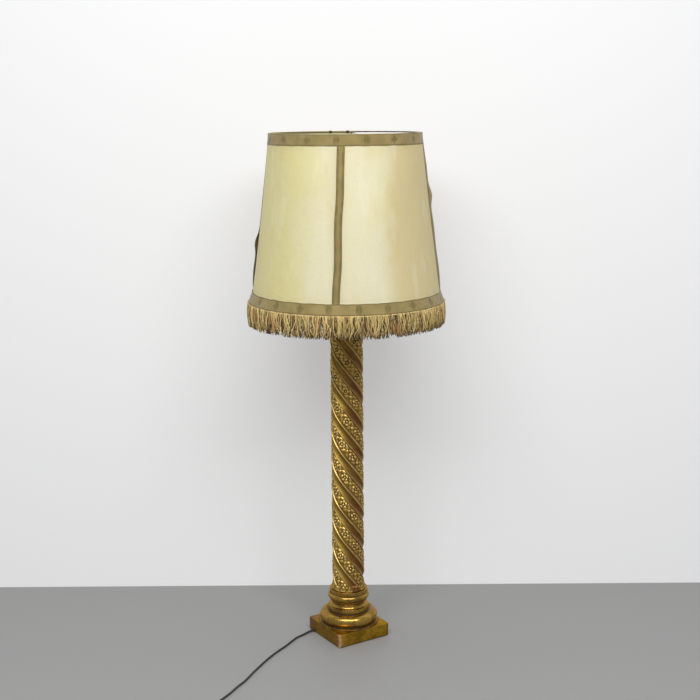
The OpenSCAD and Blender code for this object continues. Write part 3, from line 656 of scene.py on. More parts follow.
radius = np.where(in_band, carved - 0.12 * np.abs(stipple), radius)
radius = radius + 0.22 * ripple(8, 60, x_mm, y_mm, height)
radius = radius + 0.07 * ripple(9, 9, x_mm, y_mm, height) * (1 - in_ridge)
end_fade = ease(height, 12, 20) * (1 - ease(height, SHAFT_TALL - 7, SHAFT_TALL))
radius = EDGE_R + (radius - EDGE_R) * end_fade

# %% [markdown]
# ### A ring of small leaves
# Where the spiral meets the base, a ring of small leaves stands up from the
# collar, with a bead between each two. Like the spiral's carving, it is a height
# over two numbers: the place round the ring, and the height above the collar.

# %% Foot leaves
FOOT_LEAVES, FOOT_LEAF_TALL, FOOT_FLARE, FOOT_LEAF_DEEP = 14, 17.0, 2.0, 3.0


def leaf_ring(z, t, foot, head, count, ring_r):
    """Raised leaves that point up, with a bead between each two, in millimetres."""
    up = (z - foot) / (head - foot)
    side = ((t * count / math.tau) % 1 - 0.5) * math.tau * ring_r / count
    wide = math.tau * ring_r / count * 0.42
    half = wide * np.clip(1 - np.clip(up, 0, 1) ** 1.7, 0, None) ** 0.6
    leaf = dome(side, np.maximum(half * (1 + 0.12 * np.cos(up * 19)), 1e-3)) * (half > 0.05)
    leaf = leaf - 0.35 * hump(side, 0.8) * (half > 1)
    gap = np.abs(side) - math.pi * ring_r / count
    bead = dome(np.hypot(gap, (up - 0.74) * (head - foot)), 2.4)
    return np.maximum(leaf, bead) * (up > 0) * (up < 1)


foot_leaves = leaf_ring(height, turn, 1, FOOT_LEAF_TALL, FOOT_LEAVES, SHAFT_R)
flare = FOOT_FLARE * (1 - ease(height, 0, 10))
radius = radius + flare + FOOT_LEAF_DEEP * np.clip(foot_leaves, 0, None) * ease(height, 0, 2)


def smoothed(field, reach):
    """The mean over a square of neighbours, going round the column."""
    tall = np.pad(field, ((reach, reach), (0, 0)), mode="edge")
    total = np.zeros_like(field)
    for up in range(2 * reach + 1):
        for side in range(-reach, reach + 1):
            total += np.roll(tall[up:up + len(field)], side, axis=1)
    return total / (2 * reach + 1) ** 2


proud = radius - smoothed(radius, 3)
shaft_worn = np.clip(proud / 0.9, 0, 1)
# Darkening for the finish: painted shade in the pits, the flutes and the carved ground, with some
# wax.
shaft_wax_and_shade = 0.55 * np.clip(-proud / 1.2, 0, 1)
shaft_wax_and_shade = np.maximum(shaft_wax_and_shade, 0.95 * ring_pit * in_band * edge_fade)
shaft_wax_and_shade = np.where(in_flute, 0.12 * np.clip(flute_bow, 0, 1), shaft_wax_and_shade)
shaft_wax_and_shade = np.maximum(shaft_wax_and_shade, 0.12 * in_band * (carving < 0.3))
print(f"shaft radius {radius.min():.1f} to {radius.max():.1f} mm")

# %% Shaft piece
TENON_R, TENON_TALL, BORE_R = 18.0, 16, 5.25


def with_rings(points, facts, before, after):
    """Adds plain rings, given as (radius, height), below and above rows of points."""
    turns = np.arctan2(points[:, :, 1], points[:, :, 0])

    def plain(rings, row):
        return [spun(r, turns[row], z) for r, z in rings]

    rows = plain(before, 0) + list(points) + plain(after, -1)
    filled = {
        fact: np.pad(values, ((len(before), len(after)), (0, 0)))
        for fact, values in facts.items()
    }
    return np.array(rows), filled


shaft_points = spun(radius, turn, SHAFT_FOOT + height)
shaft_top = SHAFT_FOOT + SHAFT_TALL
rows, facts = with_rings(
    shaft_points,
    {"worn": shaft_worn, "hollow": shaft_wax_and_shade, "smooth": 1.0 * in_flute},
    [(BORE_R, SHAFT_FOOT - TENON_TALL), (TENON_R, SHAFT_FOOT - TENON_TALL),
     (TENON_R, SHAFT_FOOT)],
    [(TENON_R, shaft_top), (TENON_R, shaft_top + TENON_TALL),
     (BORE_R, shaft_top + TENON_TALL)],
)
make_piece(
    "carved_shaft", rows.reshape(-1, 3) * MM,
    ring_quads(len(rows), rows.shape[1], closed=True),
    carving_gilt, "stand", ["column_shaft"], facts, crease=62,
)

# %% [markdown]
# ## The turned base and capital
# Turned wood is a single outline spun round the axis. The outline is drawn as
# straight lines and arcs, its sharp corners are eased as gesso and wear ease
# them, and then it is spun. A perfect lathe looks like plastic, so the rings
# also wander by a few tenths of a millimetre.

# %% Outline tools
def arc(centre, reach, start, end, steps=14):
    """Points of (radius, height) on an arc, in degrees from straight outwards."""
    return [
        (centre[0] + reach * math.cos(math.radians(a)),
         centre[1] + reach * math.sin(math.radians(a)))
        for a in np.linspace(start, end, steps)
    ]


def eased(outline, reach, sharp=24):
    """Rounds the corners of an outline that turn by more than sharp degrees."""
    made = []
    for k, corner in enumerate(outline):
        before, after = Vector(outline[k - 1]), Vector(outline[(k + 1) % len(outline)])
        here = Vector(corner)
        back, ahead = before - here, after - here
        if back.length < 1e-6 or ahead.length < 1e-6:
            continue
        if 180 - math.degrees(back.angle(ahead)) < sharp:
            made.append(tuple(here))
            continue
        cut = min(reach, 0.45 * back.length, 0.45 * ahead.length)
        start, end = here + back.normalized() * cut, here + ahead.normalized() * cut
        for t in (0, 0.25, 0.5, 0.75, 1):
            made.append(tuple(start * (1 - t) ** 2 + here * 2 * t * (1 - t) + end * t * t))
    return made


def stepped(outline, step):
    """Adds points so that no side of a closed outline is longer than step."""
    made = []
    for k, here in enumerate(outline):
        after = outline[(k + 1) % len(outline)]
        parts = max(1, math.ceil(math.dist(here, after) / step))
        made += [
            tuple(np.array(here) + (np.array(after) - here) * n / parts) for n in range(parts)
        ]
    return made


# %% Turned wood
BEND_REACH, CREVICE_FADE = 3.0, 6.0


def turned(name, outline, finish, slot, replaces, around=192, step=1.6):
    """Spins a closed outline, given as (radius, height), with a hand-made wander."""
    line = np.array(stepped(eased(outline, 0.9), step))
    turns = even_turns(around)
    r = np.repeat(line[:, :1], around, axis=1)
    z = np.repeat(line[:, 1:], around, axis=1)
    t = np.broadcast_to(turns, r.shape)
    skin = r > TENON_R + 1
    wander = 0.20 * ripple(12, 70, r * np.cos(t), r * np.sin(t), z)
    wander = wander + 0.05 * ripple(13, 11, r * np.cos(t), r * np.sin(t), z)
    r = r + np.where(skin, wander, 0)
    points = spun(r, t, z)
    sides = np.linalg.norm(np.roll(line, -1, axis=0) - line, axis=1)
    whole, along = sides.sum(), np.cumsum(sides) - sides

    def beside(away):
        """The outline's points, so far along from each point, in millimetres."""
        sampled = [np.interp(along + away, along, line[:, k], period=whole) for k in (0, 1)]
        return np.stack(sampled, -1)

    before, after = beside(-BEND_REACH), beside(BEND_REACH)
    ahead = after - before
    out = np.stack([ahead[:, 1], -ahead[:, 0]], -1)
    out /= np.linalg.norm(out, axis=1, keepdims=True) + 1e-9
    bend = ((line - (before + after) / 2) * out).sum(axis=1)
    # Crevices and a little of each hollow get a darkening: partly wax, partly painted shade.
    crevice = np.clip((-bend - 0.7) / 0.6, 0, 1)
    apart = np.abs(along[:, None] - along[None, :])
    apart = np.minimum(apart, whole - apart)
    shade = (crevice[None, :] * np.exp(-apart / CREVICE_FADE)).max(axis=1)
    worn = np.repeat(np.clip(bend / 1.1, 0, 1)[:, None], around, axis=1)
    hollow = np.repeat(np.maximum(shade, np.clip(-bend / 2, 0, 0.3))[:, None], around, axis=1)
    return make_piece(
        name, points.reshape(-1, 3) * MM, ring_quads(len(line), around, closed=True),
        finish, "stand", [replaces], {"worn": worn, "hollow": hollow}, crease=40,
    )


# %% Base outline
FOOT_Z, LOW_TORUS_Z, LOW_FILLET_Z, SCOTIA_Z = 39.7, 43.7, 79.3, 94.0
MID_FILLET_Z, UP_TORUS_Z, COLLAR_Z = 111.3, 115.3, 135.3
FOOT_R, LOW_TORUS_R, LOW_FILLET_R, SCOTIA_R, NECK_R = 87, 86.2, 61, 56.5, 49.5
UP_TORUS_R, COLLAR_R = 62, 57
SOCKET_R, SOCKET_DEEP = TENON_R + 0.25, TENON_TALL + 0.1
low_tube, up_tube = (LOW_FILLET_Z - LOW_TORUS_Z) / 2, (COLLAR_Z - UP_TORUS_Z) / 2
scotia_tall, scotia_deep = MID_FILLET_Z - SCOTIA_Z, SCOTIA_R - NECK_R
scotia_arc = ((scotia_tall / 2) ** 2 + scotia_deep**2) / (2 * scotia_deep)
scotia_half = math.degrees(math.asin(scotia_tall / 2 / scotia_arc))
base_outline = [
    (BORE_R, FOOT_Z), (FOOT_R, FOOT_Z), (FOOT_R, LOW_TORUS_Z),
    (LOW_TORUS_R - 6.0, LOW_TORUS_Z),
    *arc((LOW_TORUS_R - low_tube, LOW_TORUS_Z + low_tube), low_tube, -44, 88, 22),
    (LOW_FILLET_R, LOW_FILLET_Z), (LOW_FILLET_R, SCOTIA_Z),
    *arc((NECK_R + scotia_arc, SCOTIA_Z + scotia_tall / 2), scotia_arc,
         180 + scotia_half, 180 - scotia_half),
    (SCOTIA_R, UP_TORUS_Z),
    *arc((UP_TORUS_R - up_tube, UP_TORUS_Z + up_tube), up_tube, -88, 88, 18),
    (COLLAR_R, COLLAR_Z), (COLLAR_R, SHAFT_FOOT), (SOCKET_R, SHAFT_FOOT),
    (SOCKET_R, SHAFT_FOOT - SOCKET_DEEP), (BORE_R, SHAFT_FOOT - SOCKET_DEEP),
]

# %% Base piece
turning_gilt = gilding(
    "gilded_turning", (0.475, 0.285, 0.055), (0.235, 0.142, 0.027), 0.25, 0.98, 0.03,
    rust=[
        ((0.066, -0.036, 0.074), 0.020, (0.33, 0.120, 0.034)),
        ((-0.060, -0.032, 0.077), 0.011, (0.090, 0.018, 0.020)),
        ((0.030, -0.050, 0.112), 0.010, (0.24, 0.080, 0.030)),
    ], coat=0.30, dented=0.00012,
)
turned("turned_base", base_outline, turning_gilt, "gilt_turning", "base_turning")

# %% Capital
CAP_NECK_R, CAP_TORUS_R, CAP_SLAB_R = 51, 59, 54
CAP_NECK_Z, CAP_TORUS_Z, CAP_SLAB_Z, CAP_TOP_Z = 946.3, 952.3, 968.3, 979.3
cap_tube = (CAP_SLAB_Z - CAP_TORUS_Z) / 2
capital_outline = [
    (BORE_R, CAP_NECK_Z + SOCKET_DEEP), (SOCKET_R, CAP_NECK_Z + SOCKET_DEEP),
    (SOCKET_R, CAP_NECK_Z), (CAP_NECK_R, CAP_NECK_Z), (CAP_NECK_R, CAP_TORUS_Z),
    *arc((CAP_TORUS_R - cap_tube, CAP_TORUS_Z + cap_tube), cap_tube, -88, 88, 18),
    (CAP_SLAB_R, CAP_SLAB_Z), (CAP_SLAB_R, CAP_TOP_Z), (BORE_R, CAP_TOP_Z),
]
turned("turned_capital", capital_outline, turning_gilt, "gilt_turning", "capital")

# %% [markdown]
# ## The plinth
# The plinth is a square block with softened corners. Below it is hollow: a
# shallow space for the cord, and a round well for the nut that pulls the lamp
# together. It is built from square rings that go up the outside, over the top,
# and back down into the hollow. The slot for the cord's bush is cut out at the
# end with a boolean, since it crosses the rings.

# %% Plinth rings
PLINTH_Z, PLINTH_HALF, PLINTH_CORNER = 2, 87.35, 3.0
HOLLOW_HALF, HOLLOW_Z, WELL_R, WELL_Z = 65.35, 14, 25, 29
SIDE_STEPS, CORNER_STEPS = 26, 6


def square_ring(half, corner, z):
    """A rounded square of points, counter-clockwise from the middle of the +X side."""
    flat = half - corner
    points = []
    for quarter in range(4):
        a = quarter * math.pi / 2
        side = [(half, y) for y in np.linspace(-flat, flat, SIDE_STEPS, endpoint=False)]
        bow = [
            (flat + corner * math.cos(b), flat + corner * math.sin(b))
            for b in np.linspace(0, math.pi / 2, CORNER_STEPS, endpoint=False)
        ]
        for x, y in side + bow:
            points.append((x * math.cos(a) - y * math.sin(a), x * math.sin(a) + y * math.cos(a), z))
    return np.array(points)


def round_ring(reach, z):
    """A circle with the points of the square ring, at their own turns."""
    way = square_ring(PLINTH_HALF, PLINTH_CORNER, z)
    way[:, :2] *= reach / np.linalg.norm(way[:, :2], axis=1, keepdims=True)
    return way


PLINTH_EDGE = 1.3
quarter_bow = np.linspace(0, math.pi / 2, 5)
wall = [(HOLLOW_HALF, PLINTH_Z)]
wall += [
    (PLINTH_HALF - PLINTH_EDGE + PLINTH_EDGE * math.sin(b),
     PLINTH_Z + PLINTH_EDGE - PLINTH_EDGE * math.cos(b)) for b in quarter_bow
]
wall += [(PLINTH_HALF, z) for z in np.linspace(PLINTH_Z + 3, FOOT_Z - 3, 14)]
wall += [
    (PLINTH_HALF - PLINTH_EDGE + PLINTH_EDGE * math.cos(b),
     FOOT_Z - PLINTH_EDGE + PLINTH_EDGE * math.sin(b)) for b in quarter_bow
]
wall += [(half, FOOT_Z) for half in np.linspace(PLINTH_HALF - 4, 30, 20)]
rings = [round_ring(BORE_R, WELL_Z), round_ring(WELL_R, WELL_Z), round_ring(WELL_R, HOLLOW_Z),
         square_ring(HOLLOW_HALF, PLINTH_CORNER, HOLLOW_Z)]
rings += [square_ring(half, PLINTH_CORNER, z) for half, z in wall]
rings += [round_ring(BORE_R, FOOT_Z)]
plinth_points = np.array(rings)
seen = np.abs(plinth_points[:, :, :2]).max(axis=2) > HOLLOW_HALF + 1
dent = 0.22 * ripple(21, 45, *np.moveaxis(plinth_points, 2, 0))
dent = dent + 0.09 * ripple(22, 10, *np.moveaxis(plinth_points, 2, 0))
way = plinth_points / np.linalg.norm(plinth_points, axis=2, keepdims=True)
rim = np.abs(plinth_points[:, :, 2] - (PLINTH_Z + FOOT_Z) / 2) < (FOOT_Z - PLINTH_Z) / 2 - 0.5
plinth_points[:, :, :2] += (way[:, :, :2] * (dent * seen * rim)[:, :, None])
print("plinth rings", plinth_points.shape)

# %% Cutting the bush's slot
BUSH_Y, BUSH_R = 58, 4.5
SLOT_R, SLOT_FROM, SLOT_TO = BUSH_R + 0.1, -90, -60


def slot_cutter():
    """The slot's shape, open below, as a closed prism along X."""
    bow = [math.pi * k / 12 for k in range(13)]
    section = [(SLOT_R * math.cos(a), PLINTH_Z + BUSH_R + SLOT_R * math.sin(a)) for a in bow]
    section += [(-SLOT_R, PLINTH_Z - 2), (SLOT_R, PLINTH_Z - 2)]
    points = [(x, BUSH_Y + y, z) for x in (SLOT_FROM, SLOT_TO) for y, z in section]
    count = len(section)
    mesh = bpy.data.meshes.new("slot_cutter")
    faces = [(k, (k + 1) % count, count + (k + 1) % count, count + k) for k in range(count)]
    faces += [tuple(range(count))[::-1], tuple(range(count, 2 * count))]
    mesh.from_pydata((np.array(points) * MM).tolist(), [], faces)
    return placed("slot_cutter", mesh)


plinth_gilt = gilding(
    "gilded_plinth", (0.56, 0.320, 0.036), (0.28, 0.155, 0.015), 0.33, 0.88, 0.05,
    rust=[
        ((-0.087, 0.087, 0.030), 0.045, (0.170, 0.072, 0.030)),
    ], coat=0.03,
)
plinth_block = make_piece(
    "plinth_block", plinth_points.reshape(-1, 3) * MM,
    ring_quads(len(plinth_points), plinth_points.shape[1], closed=True),
    plinth_gilt, "stand", ["plinth"],
)
cutter = slot_cutter()
cut = plinth_block.modifiers.new("slot", "BOOLEAN")
cut.operation, cut.object, cut.solver = "DIFFERENCE", cutter, "EXACT"
ready = bpy.data.meshes.new_from_object(
    plinth_block.evaluated_get(bpy.context.evaluated_depsgraph_get())
)
plinth_block.modifiers.clear()
plinth_block.data = ready
bpy.data.objects.remove(cutter)

# %% Wear and painted shade of the plinth
FRONT_CORNER = (-PLINTH_HALF, -PLINTH_HALF)
UNDER_IN = 15
places = np.empty(len(ready.vertices) * 3, np.float32)
ready.vertices.foreach_get("co", places)
x, y, z = np.moveaxis(places.reshape(-1, 3) / MM, 1, 0)
from_upright = np.hypot(PLINTH_HALF - np.abs(x), PLINTH_HALF - np.abs(y))
from_top = np.hypot(PLINTH_HALF - np.maximum(np.abs(x), np.abs(y)), FOOT_Z - z)
from_front = np.hypot(x - FRONT_CORNER[0], y - FRONT_CORNER[1])
worn = np.exp(-from_upright / 3.5) + 0.55 * np.exp(-from_top / 2.0)
worn = np.clip(worn, 0, 1.3)
from_foot = FOOT_R - np.hypot(x, y)
# Painted shade: the top round the base's foot, a band along the bottom near the floor, the whole
# face at -X, which is turned from the light, and the underside.
hollow = 0.80 * np.exp(-np.abs(from_foot) / 8) * (z > FOOT_Z - 1)
hollow = np.maximum(hollow, 0.8 * np.exp(-(z - PLINTH_Z) / 3))
hollow = np.maximum(hollow, 0.52 * (x < -PLINTH_HALF + 1))
underneath = (np.maximum(np.abs(x), np.abs(y)) < PLINTH_HALF - UNDER_IN) & (z < FOOT_Z - 1)
hollow = np.maximum(hollow, underneath)
corner = np.maximum(hump(from_front, 8.5), 0.55 * underneath)
carry(ready, {"worn": worn, "hollow": hollow, "corner": corner})
print("plinth faces", len(ready.polygons))

# %% [markdown]
# ## Finishes of the working parts
# The nuts, the tube, the lamp holder and the bulb keep the shapes of the CAD
# model, since they are machined or moulded and that shape is exact. What they
# lack is a surface. Each gets a finish with its own grain, wear and dust, which
# goes on the node's own material slots.

# %% Giving a finish to CAD nodes
def give_finish(paint, *nodes):
    """Puts a finish on all the material slots of CAD nodes."""
    for node in nodes:
        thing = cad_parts[node]
        for place in thing.material_slots:
            place.material = paint
        print(f"{node}: {paint.name}")


# %% [markdown]
# ### Metal
# Lacquered brass has soft turning lines and browns where the lacquer has gone.
# Zinc plating is a dull blue-grey with small bright and dark crystals. The plug's
# pins are nickel, which is smooth and only a little scratched.

# %% Metal finishes
def metal(name, bright, dulled, shine, speck, scratches):
    """A metal that dulls in patches. speck is the size of its grain in metres."""
    made = Finish(name, Metallic=1.0)
    patches = made.noise(0.009, detail=5, rough=0.6)
    grain = made.noise(speck, detail=4, rough=0.6)
    lines = made.noise(0.0011, detail=3, rough=0.7, stretch=(0.15, 0.15, 1))
    colour = made.mix(made.span(patches, 0.42, 0.68), bright, dulled)
    colour = made.mix(made.span(grain, 0.35, 0.65, 0.25, 0.0), colour, dulled)
    made.give("Base Color", colour)
    rough = made.span(patches, 0.35, 0.70, shine, shine + 0.22)
    made.give("Roughness", made.scaled(grain, 0.10, rough))
    made.give("Normal", made.bump(lines, scratches))
    return made.paint


brass_metal = metal("aged_brass", (0.62, 0.42, 0.15), (0.24, 0.145, 0.045), 0.24, 0.002, 0.00003)
zinc_metal = metal("zinc_plate", (0.52, 0.53, 0.54), (0.30, 0.30, 0.29), 0.32, 0.0012, 0.00003)
nickel_metal = metal("nickel_pins", (0.66, 0.64, 0.60), (0.42, 0.40, 0.36), 0.18, 0.003, 0.00002)
give_finish(brass_metal, "cap_disc", "top_nut", "screw_sleeve", "centre_contact",
            "switch_spindle")
give_finish(zinc_metal, "threaded_tube", "bottom_washer", "bottom_nut", "terminal_screws",
            "bulb_contact", "bulb_cap")
give_finish(nickel_metal, "plug_pins")

# %% [markdown]
# ### Moulded parts
# Bakelite is a hard dark moulding. It is deep brown in the light, with a faint
# cloud of filler, fine flow marks, and a gloss that has gone uneven with age and
# dust. The plug and the cord are softer plastics: duller, with a fine grain.

# %% Moulded finishes
DUST = (0.16, 0.145, 0.12)


def moulded(name, body, cloud_tint, shine, grain_size, grain_deep, gloss=0.0):
    """A moulded plastic or rubber with a faint cloud, dust and a fine grain."""
    made = Finish(name, Coat_Weight=gloss, Coat_Roughness=0.15)
    cloud = made.noise(0.010, detail=5, rough=0.65, twist=0.8)
    grain = made.noise(grain_size, detail=4, rough=0.6)
    dusty = made.noise(0.022, detail=4)
    colour = made.mix(made.span(cloud, 0.42, 0.66), body, cloud_tint)
    dust_share = made.span(dusty, 0.50, 0.75, 0.0, 0.22)
    made.give("Base Color", made.mix(dust_share, colour, DUST))
    rough = made.scaled(dust_share, 1.1, shine)
    made.give("Roughness", made.scaled(grain, 0.12, rough))
    made.give("Normal", made.bump(grain, grain_deep))
    return made.paint


bakelite = moulded(
    "bakelite", (0.022, 0.012, 0.008), (0.050, 0.024, 0.013), 0.18, 0.0016, 0.00002, 0.4
)
plug_plastic = moulded(
    "plug_plastic", (0.014, 0.014, 0.015), (0.022, 0.022, 0.022), 0.36, 0.0007, 0.00004
)
soft_rubber = moulded(
    "soft_rubber", (0.016, 0.016, 0.016), (0.028, 0.027, 0.026), 0.55, 0.0006, 0.00005
)
cord_plastic = moulded(
    "cord_plastic", (0.019, 0.020, 0.021), (0.030, 0.031, 0.032), 0.34, 0.0010, 0.00004
)
core_plastic = moulded(
    "core_plastic", (0.060, 0.085, 0.230), (0.200, 0.090, 0.040), 0.42, 0.0010, 0.00003
)
give_finish(bakelite, "holder_cap", "holder_shell", "shade_ring_nut", "switch_key",
            "bulb_insulator")
give_finish(soft_rubber, "cord_bush", "plug_relief")
give_finish(cord_plastic, "inner_cord")
give_finish(core_plastic, "cord_cores")
mains_cord.data.materials.append(cord_plastic)

# %% [markdown]
# ### The plug and the cord's tie
# A moulded plug has no sharp edge. The CAD model's plug has the right outline,
# with sharp edges, so a copy of its mesh is rounded: flat triangles are joined
# again first, because a bevel follows every edge that it is given.

# %% Rounded copies
def rounded(name, node, reach, finish):
    """A copy of a CAD node with its edges rounded, reach millimetres wide."""
    shape = bmesh.new()
    shape.from_mesh(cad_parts[node].data)
    bmesh.ops.remove_doubles(shape, verts=shape.verts, dist=0.01 * MM)
    bmesh.ops.dissolve_limit(
        shape, angle_limit=math.radians(2), verts=shape.verts, edges=shape.edges
    )
    sharp = [edge for edge in shape.edges if edge.calc_face_angle(0) > math.radians(20)]
    bmesh.ops.bevel(
        shape, geom=sharp, offset=reach * MM, segments=4, profile=0.5, affect="EDGES",
        clamp_overlap=True,
    )
    bmesh.ops.triangulate(shape, faces=shape.faces)
    shape.verts.index_update()
    points = [point.co[:] for point in shape.verts]
    faces = [[corner.index for corner in face.verts] for face in shape.faces]
    shape.free()
    return make_piece(name, points, faces, finish, "stand", [node])


plug_shell = rounded("plug_shell", "plug_body", 2.6, plug_plastic)
tie_loop = rounded("tie_loop", "cord_tie", 0.3, soft_rubber)

# %% [markdown]
# ### Porcelain, glass and felt
# The lamp holder's insert is glazed porcelain with a crackle and patches of grey
# dust. The bulb is opal glass: white, glossy outside, and it passes a little light.
# The pads are pressed wool felt, all short hairs.

# %% Porcelain, glass and felt finishes
porcelain = Finish("porcelain", Coat_Weight=0.6, Coat_Roughness=0.08, IOR=1.5)
crackle = porcelain.span(porcelain.cells(0.005, "DISTANCE_TO_EDGE"), 0.0, 0.03)
smoke = porcelain.noise(0.012, detail=4)
glaze = porcelain.mix(porcelain.span(smoke, 0.5, 0.75, 0.0, 0.4), (0.78, 0.75, 0.68),
                      (0.42, 0.38, 0.31))
porcelain.give("Base Color", porcelain.mix(crackle, (0.50, 0.45, 0.37), glaze))
porcelain.give("Roughness", porcelain.span(smoke, 0.3, 0.7, 0.16, 0.34))
porcelain.give("Normal", porcelain.bump(crackle, 0.00002))
give_finish(porcelain.paint, "holder_insert")

opal = Finish("opal_glass", Subsurface_Weight=0.5, Coat_Weight=0.6, Coat_Roughness=0.04)
opal.skin.inputs["Subsurface Radius"].default_value = (1.0, 0.95, 0.85)
opal.skin.inputs["Subsurface Scale"].default_value = 0.006
milk = opal.noise(0.03, detail=3)
opal.give("Base Color", opal.mix(opal.span(milk, 0.35, 0.7), (0.86, 0.85, 0.81),
                                 (0.78, 0.76, 0.70)))
film = opal.noise(0.014, detail=5)
opal.give("Roughness", opal.span(film, 0.35, 0.75, 0.12, 0.32))
opal.give("Normal", opal.bump(film, 0.00002))
give_finish(opal.paint, "bulb_glass")

felt = Finish("pressed_felt", Roughness=0.95)
felt.give("Sheen Weight", 0.4)
hairs = felt.noise(0.0009, detail=6, rough=0.75, twist=1.2)
lumps = felt.noise(0.006, detail=3)
wool = felt.mix(felt.span(hairs, 0.38, 0.62), (0.035, 0.048, 0.026), (0.085, 0.105, 0.062))
felt.give("Base Color", felt.mix(felt.span(lumps, 0.5, 0.7, 0.0, 0.4), wool, DUST))
felt.give("Normal", felt.bump(hairs, 0.0004, felt.bump(lumps, 0.0006)))
give_finish(felt.paint, "felt_pads")

# %% [markdown]
# ## The shade's cover
# The cover is four panels of parchment, sewn on a wire frame and finished with
# braid. Parchment is a flat sheet between straight wires, so it doesn't follow
# the round rings exactly: it sags a little towards the axis between its seams.
# All the soft parts read their place from the same few functions, so that each
# layer lies on the one below it: cover, then braid, then the band's flare.

# %% Shade's measures
RING_Z, SHADE_TALL = 1027.9, 470.1
TOP_RING_R, LOW_RING_R = 212.2, 269.0
SEAMS = {"back": 52.7, "left": 142.7, "front": 232.7, "right": 322.7}
COVER_IN, COVER_OUT, BRAID_IN, BRAID_OUT = 2.1, 2.9, 3.0, 4.2
COVER_FOOT, SHADE_TOP = 1022.9, 1500.0
LOW_BAND_TOP, TOP_BAND_FOOT = 1053.9, 1468.0
BAND_FLARE = 8.0


def wall_radius(z):
    """The frame's radius at a height, in millimetres."""
    return LOW_RING_R + (TOP_RING_R - LOW_RING_R) * (z - RING_Z) / SHADE_TALL


def seam_place(turn):
    """How far a turn, in degrees, is from the seam before it to the next: 0 to 1."""
    return ((turn - SEAMS["back"]) % 90) / 90


def sag(turn, z):
    """How far the cover falls in between its seams, and its soft unevenness."""
    u = seam_place(turn)
    h = np.clip((z - LOW_BAND_TOP) / (TOP_BAND_FOOT - LOW_BAND_TOP), 0, 1)
    free = np.sin(math.pi * h) ** 0.8
    hollow = 5.0 * (4 * u * (1 - u)) ** 0.6 * free
    a = np.radians(turn)
    x, y = 240 * np.cos(a), 240 * np.sin(a)
    uneven = 0.9 * ripple(41, 210, x, y, z * 0.6) * np.minimum(1, 6 * u * (1 - u)) * free
    return hollow + uneven


DROOP, DROOP_FROM, DROOP_TO, SLIP_REACH = 12.0, -24.0, 54.0, 190


def droop(turn):
    """How far the cover's top edge has slipped down at the back, in millimetres."""
    a = (turn + 180) % 360 - 180
    return DROOP * ease(a, DROOP_FROM, DROOP_FROM + 24) * (1 - ease(a, DROOP_TO - 9, DROOP_TO))


def drop_at(turn, z):
    """The slip of the cover at a height: whole at the top edge, none far below."""
    return droop(turn) * ease(z, SHADE_TOP - SLIP_REACH, SHADE_TOP)


print("wall radius at mid-height", round(wall_radius(1260), 1))

# %% Thin sheets
def sheet_quads(rows, columns):
    """Quads of a thin sheet: outer side, inner side, and the four rims between them."""
    outer = np.arange(rows * columns).reshape(rows, columns)
    inner = outer + rows * columns

    def patch(a, b, c, d):
        return np.stack([a, b, c, d], -1).reshape(-1, 4)

    return np.concatenate([
        patch(outer[:-1, :-1], outer[:-1, 1:], outer[1:, 1:], outer[1:, :-1]),
        patch(inner[:-1, :-1], inner[1:, :-1], inner[1:, 1:], inner[:-1, 1:]),
        patch(outer[0, :-1], inner[0, :-1], inner[0, 1:], outer[0, 1:]),
        patch(outer[-1, 1:], inner[-1, 1:], inner[-1, :-1], outer[-1, :-1]),
        patch(outer[1:, 0], inner[1:, 0], inner[:-1, 0], outer[:-1, 0]),
        patch(outer[:-1, -1], inner[:-1, -1], inner[1:, -1], outer[1:, -1]),
    ])


def thin_sheet(name, turn, z, outside, inside, finish, node, facts):
    """A sheet round the axis. turn is in degrees; the radii are in millimetres."""
    a = np.radians(turn)
    sides = [spun(r, a, z) for r in (outside, inside)]
    both = {fact: np.stack([values, values]) for fact, values in facts.items()}
    return make_piece(
        name, np.stack(sides).reshape(-1, 3) * MM, sheet_quads(*turn.shape),
        finish, "shade", [node], both,
    )


# %% [markdown]
# ### Parchment
# Vegetable parchment is stiff, a little waxy and never one colour. Large soft
# patches go from cream to yellow-green and tan, mostly up and down the sheet.
# Seen from the viewer's side it turns yellower on the left and tan on the right,
# partly its own tone and partly painted shade on the sides that turn from the
# light. Faint fibres and a low bump break up the gloss. Light passes a little way
# into it, which softens its shadows.

# %% Parchment finish
LEFT_WAY, RIGHT_WAY = TO_VIEWER - math.pi / 2, TO_VIEWER + math.pi / 2
parchment = Finish("parchment", Roughness=0.62, Subsurface_Weight=0.3, IOR=1.45)
parchment.skin.inputs["Subsurface Radius"].default_value = (1.0, 0.8, 0.4)
parchment.skin.inputs["Subsurface Scale"].default_value = 0.004
drift = parchment.noise(0.16, detail=2, rough=0.45, twist=0.5, stretch=(1, 1, 0.45))
patchy = parchment.noise(0.07, detail=3, rough=0.5, stretch=(1, 1, 0.7))
fibre = parchment.noise(0.0035, detail=5, rough=0.7, stretch=(1, 1, 0.5))
cream, yellowed, tan = (0.655, 0.610, 0.425), (0.620, 0.565, 0.265), (0.570, 0.470, 0.240)
tone = parchment.mix(parchment.span(drift, 0.50, 0.66, 0.0, 0.55), cream, yellowed)
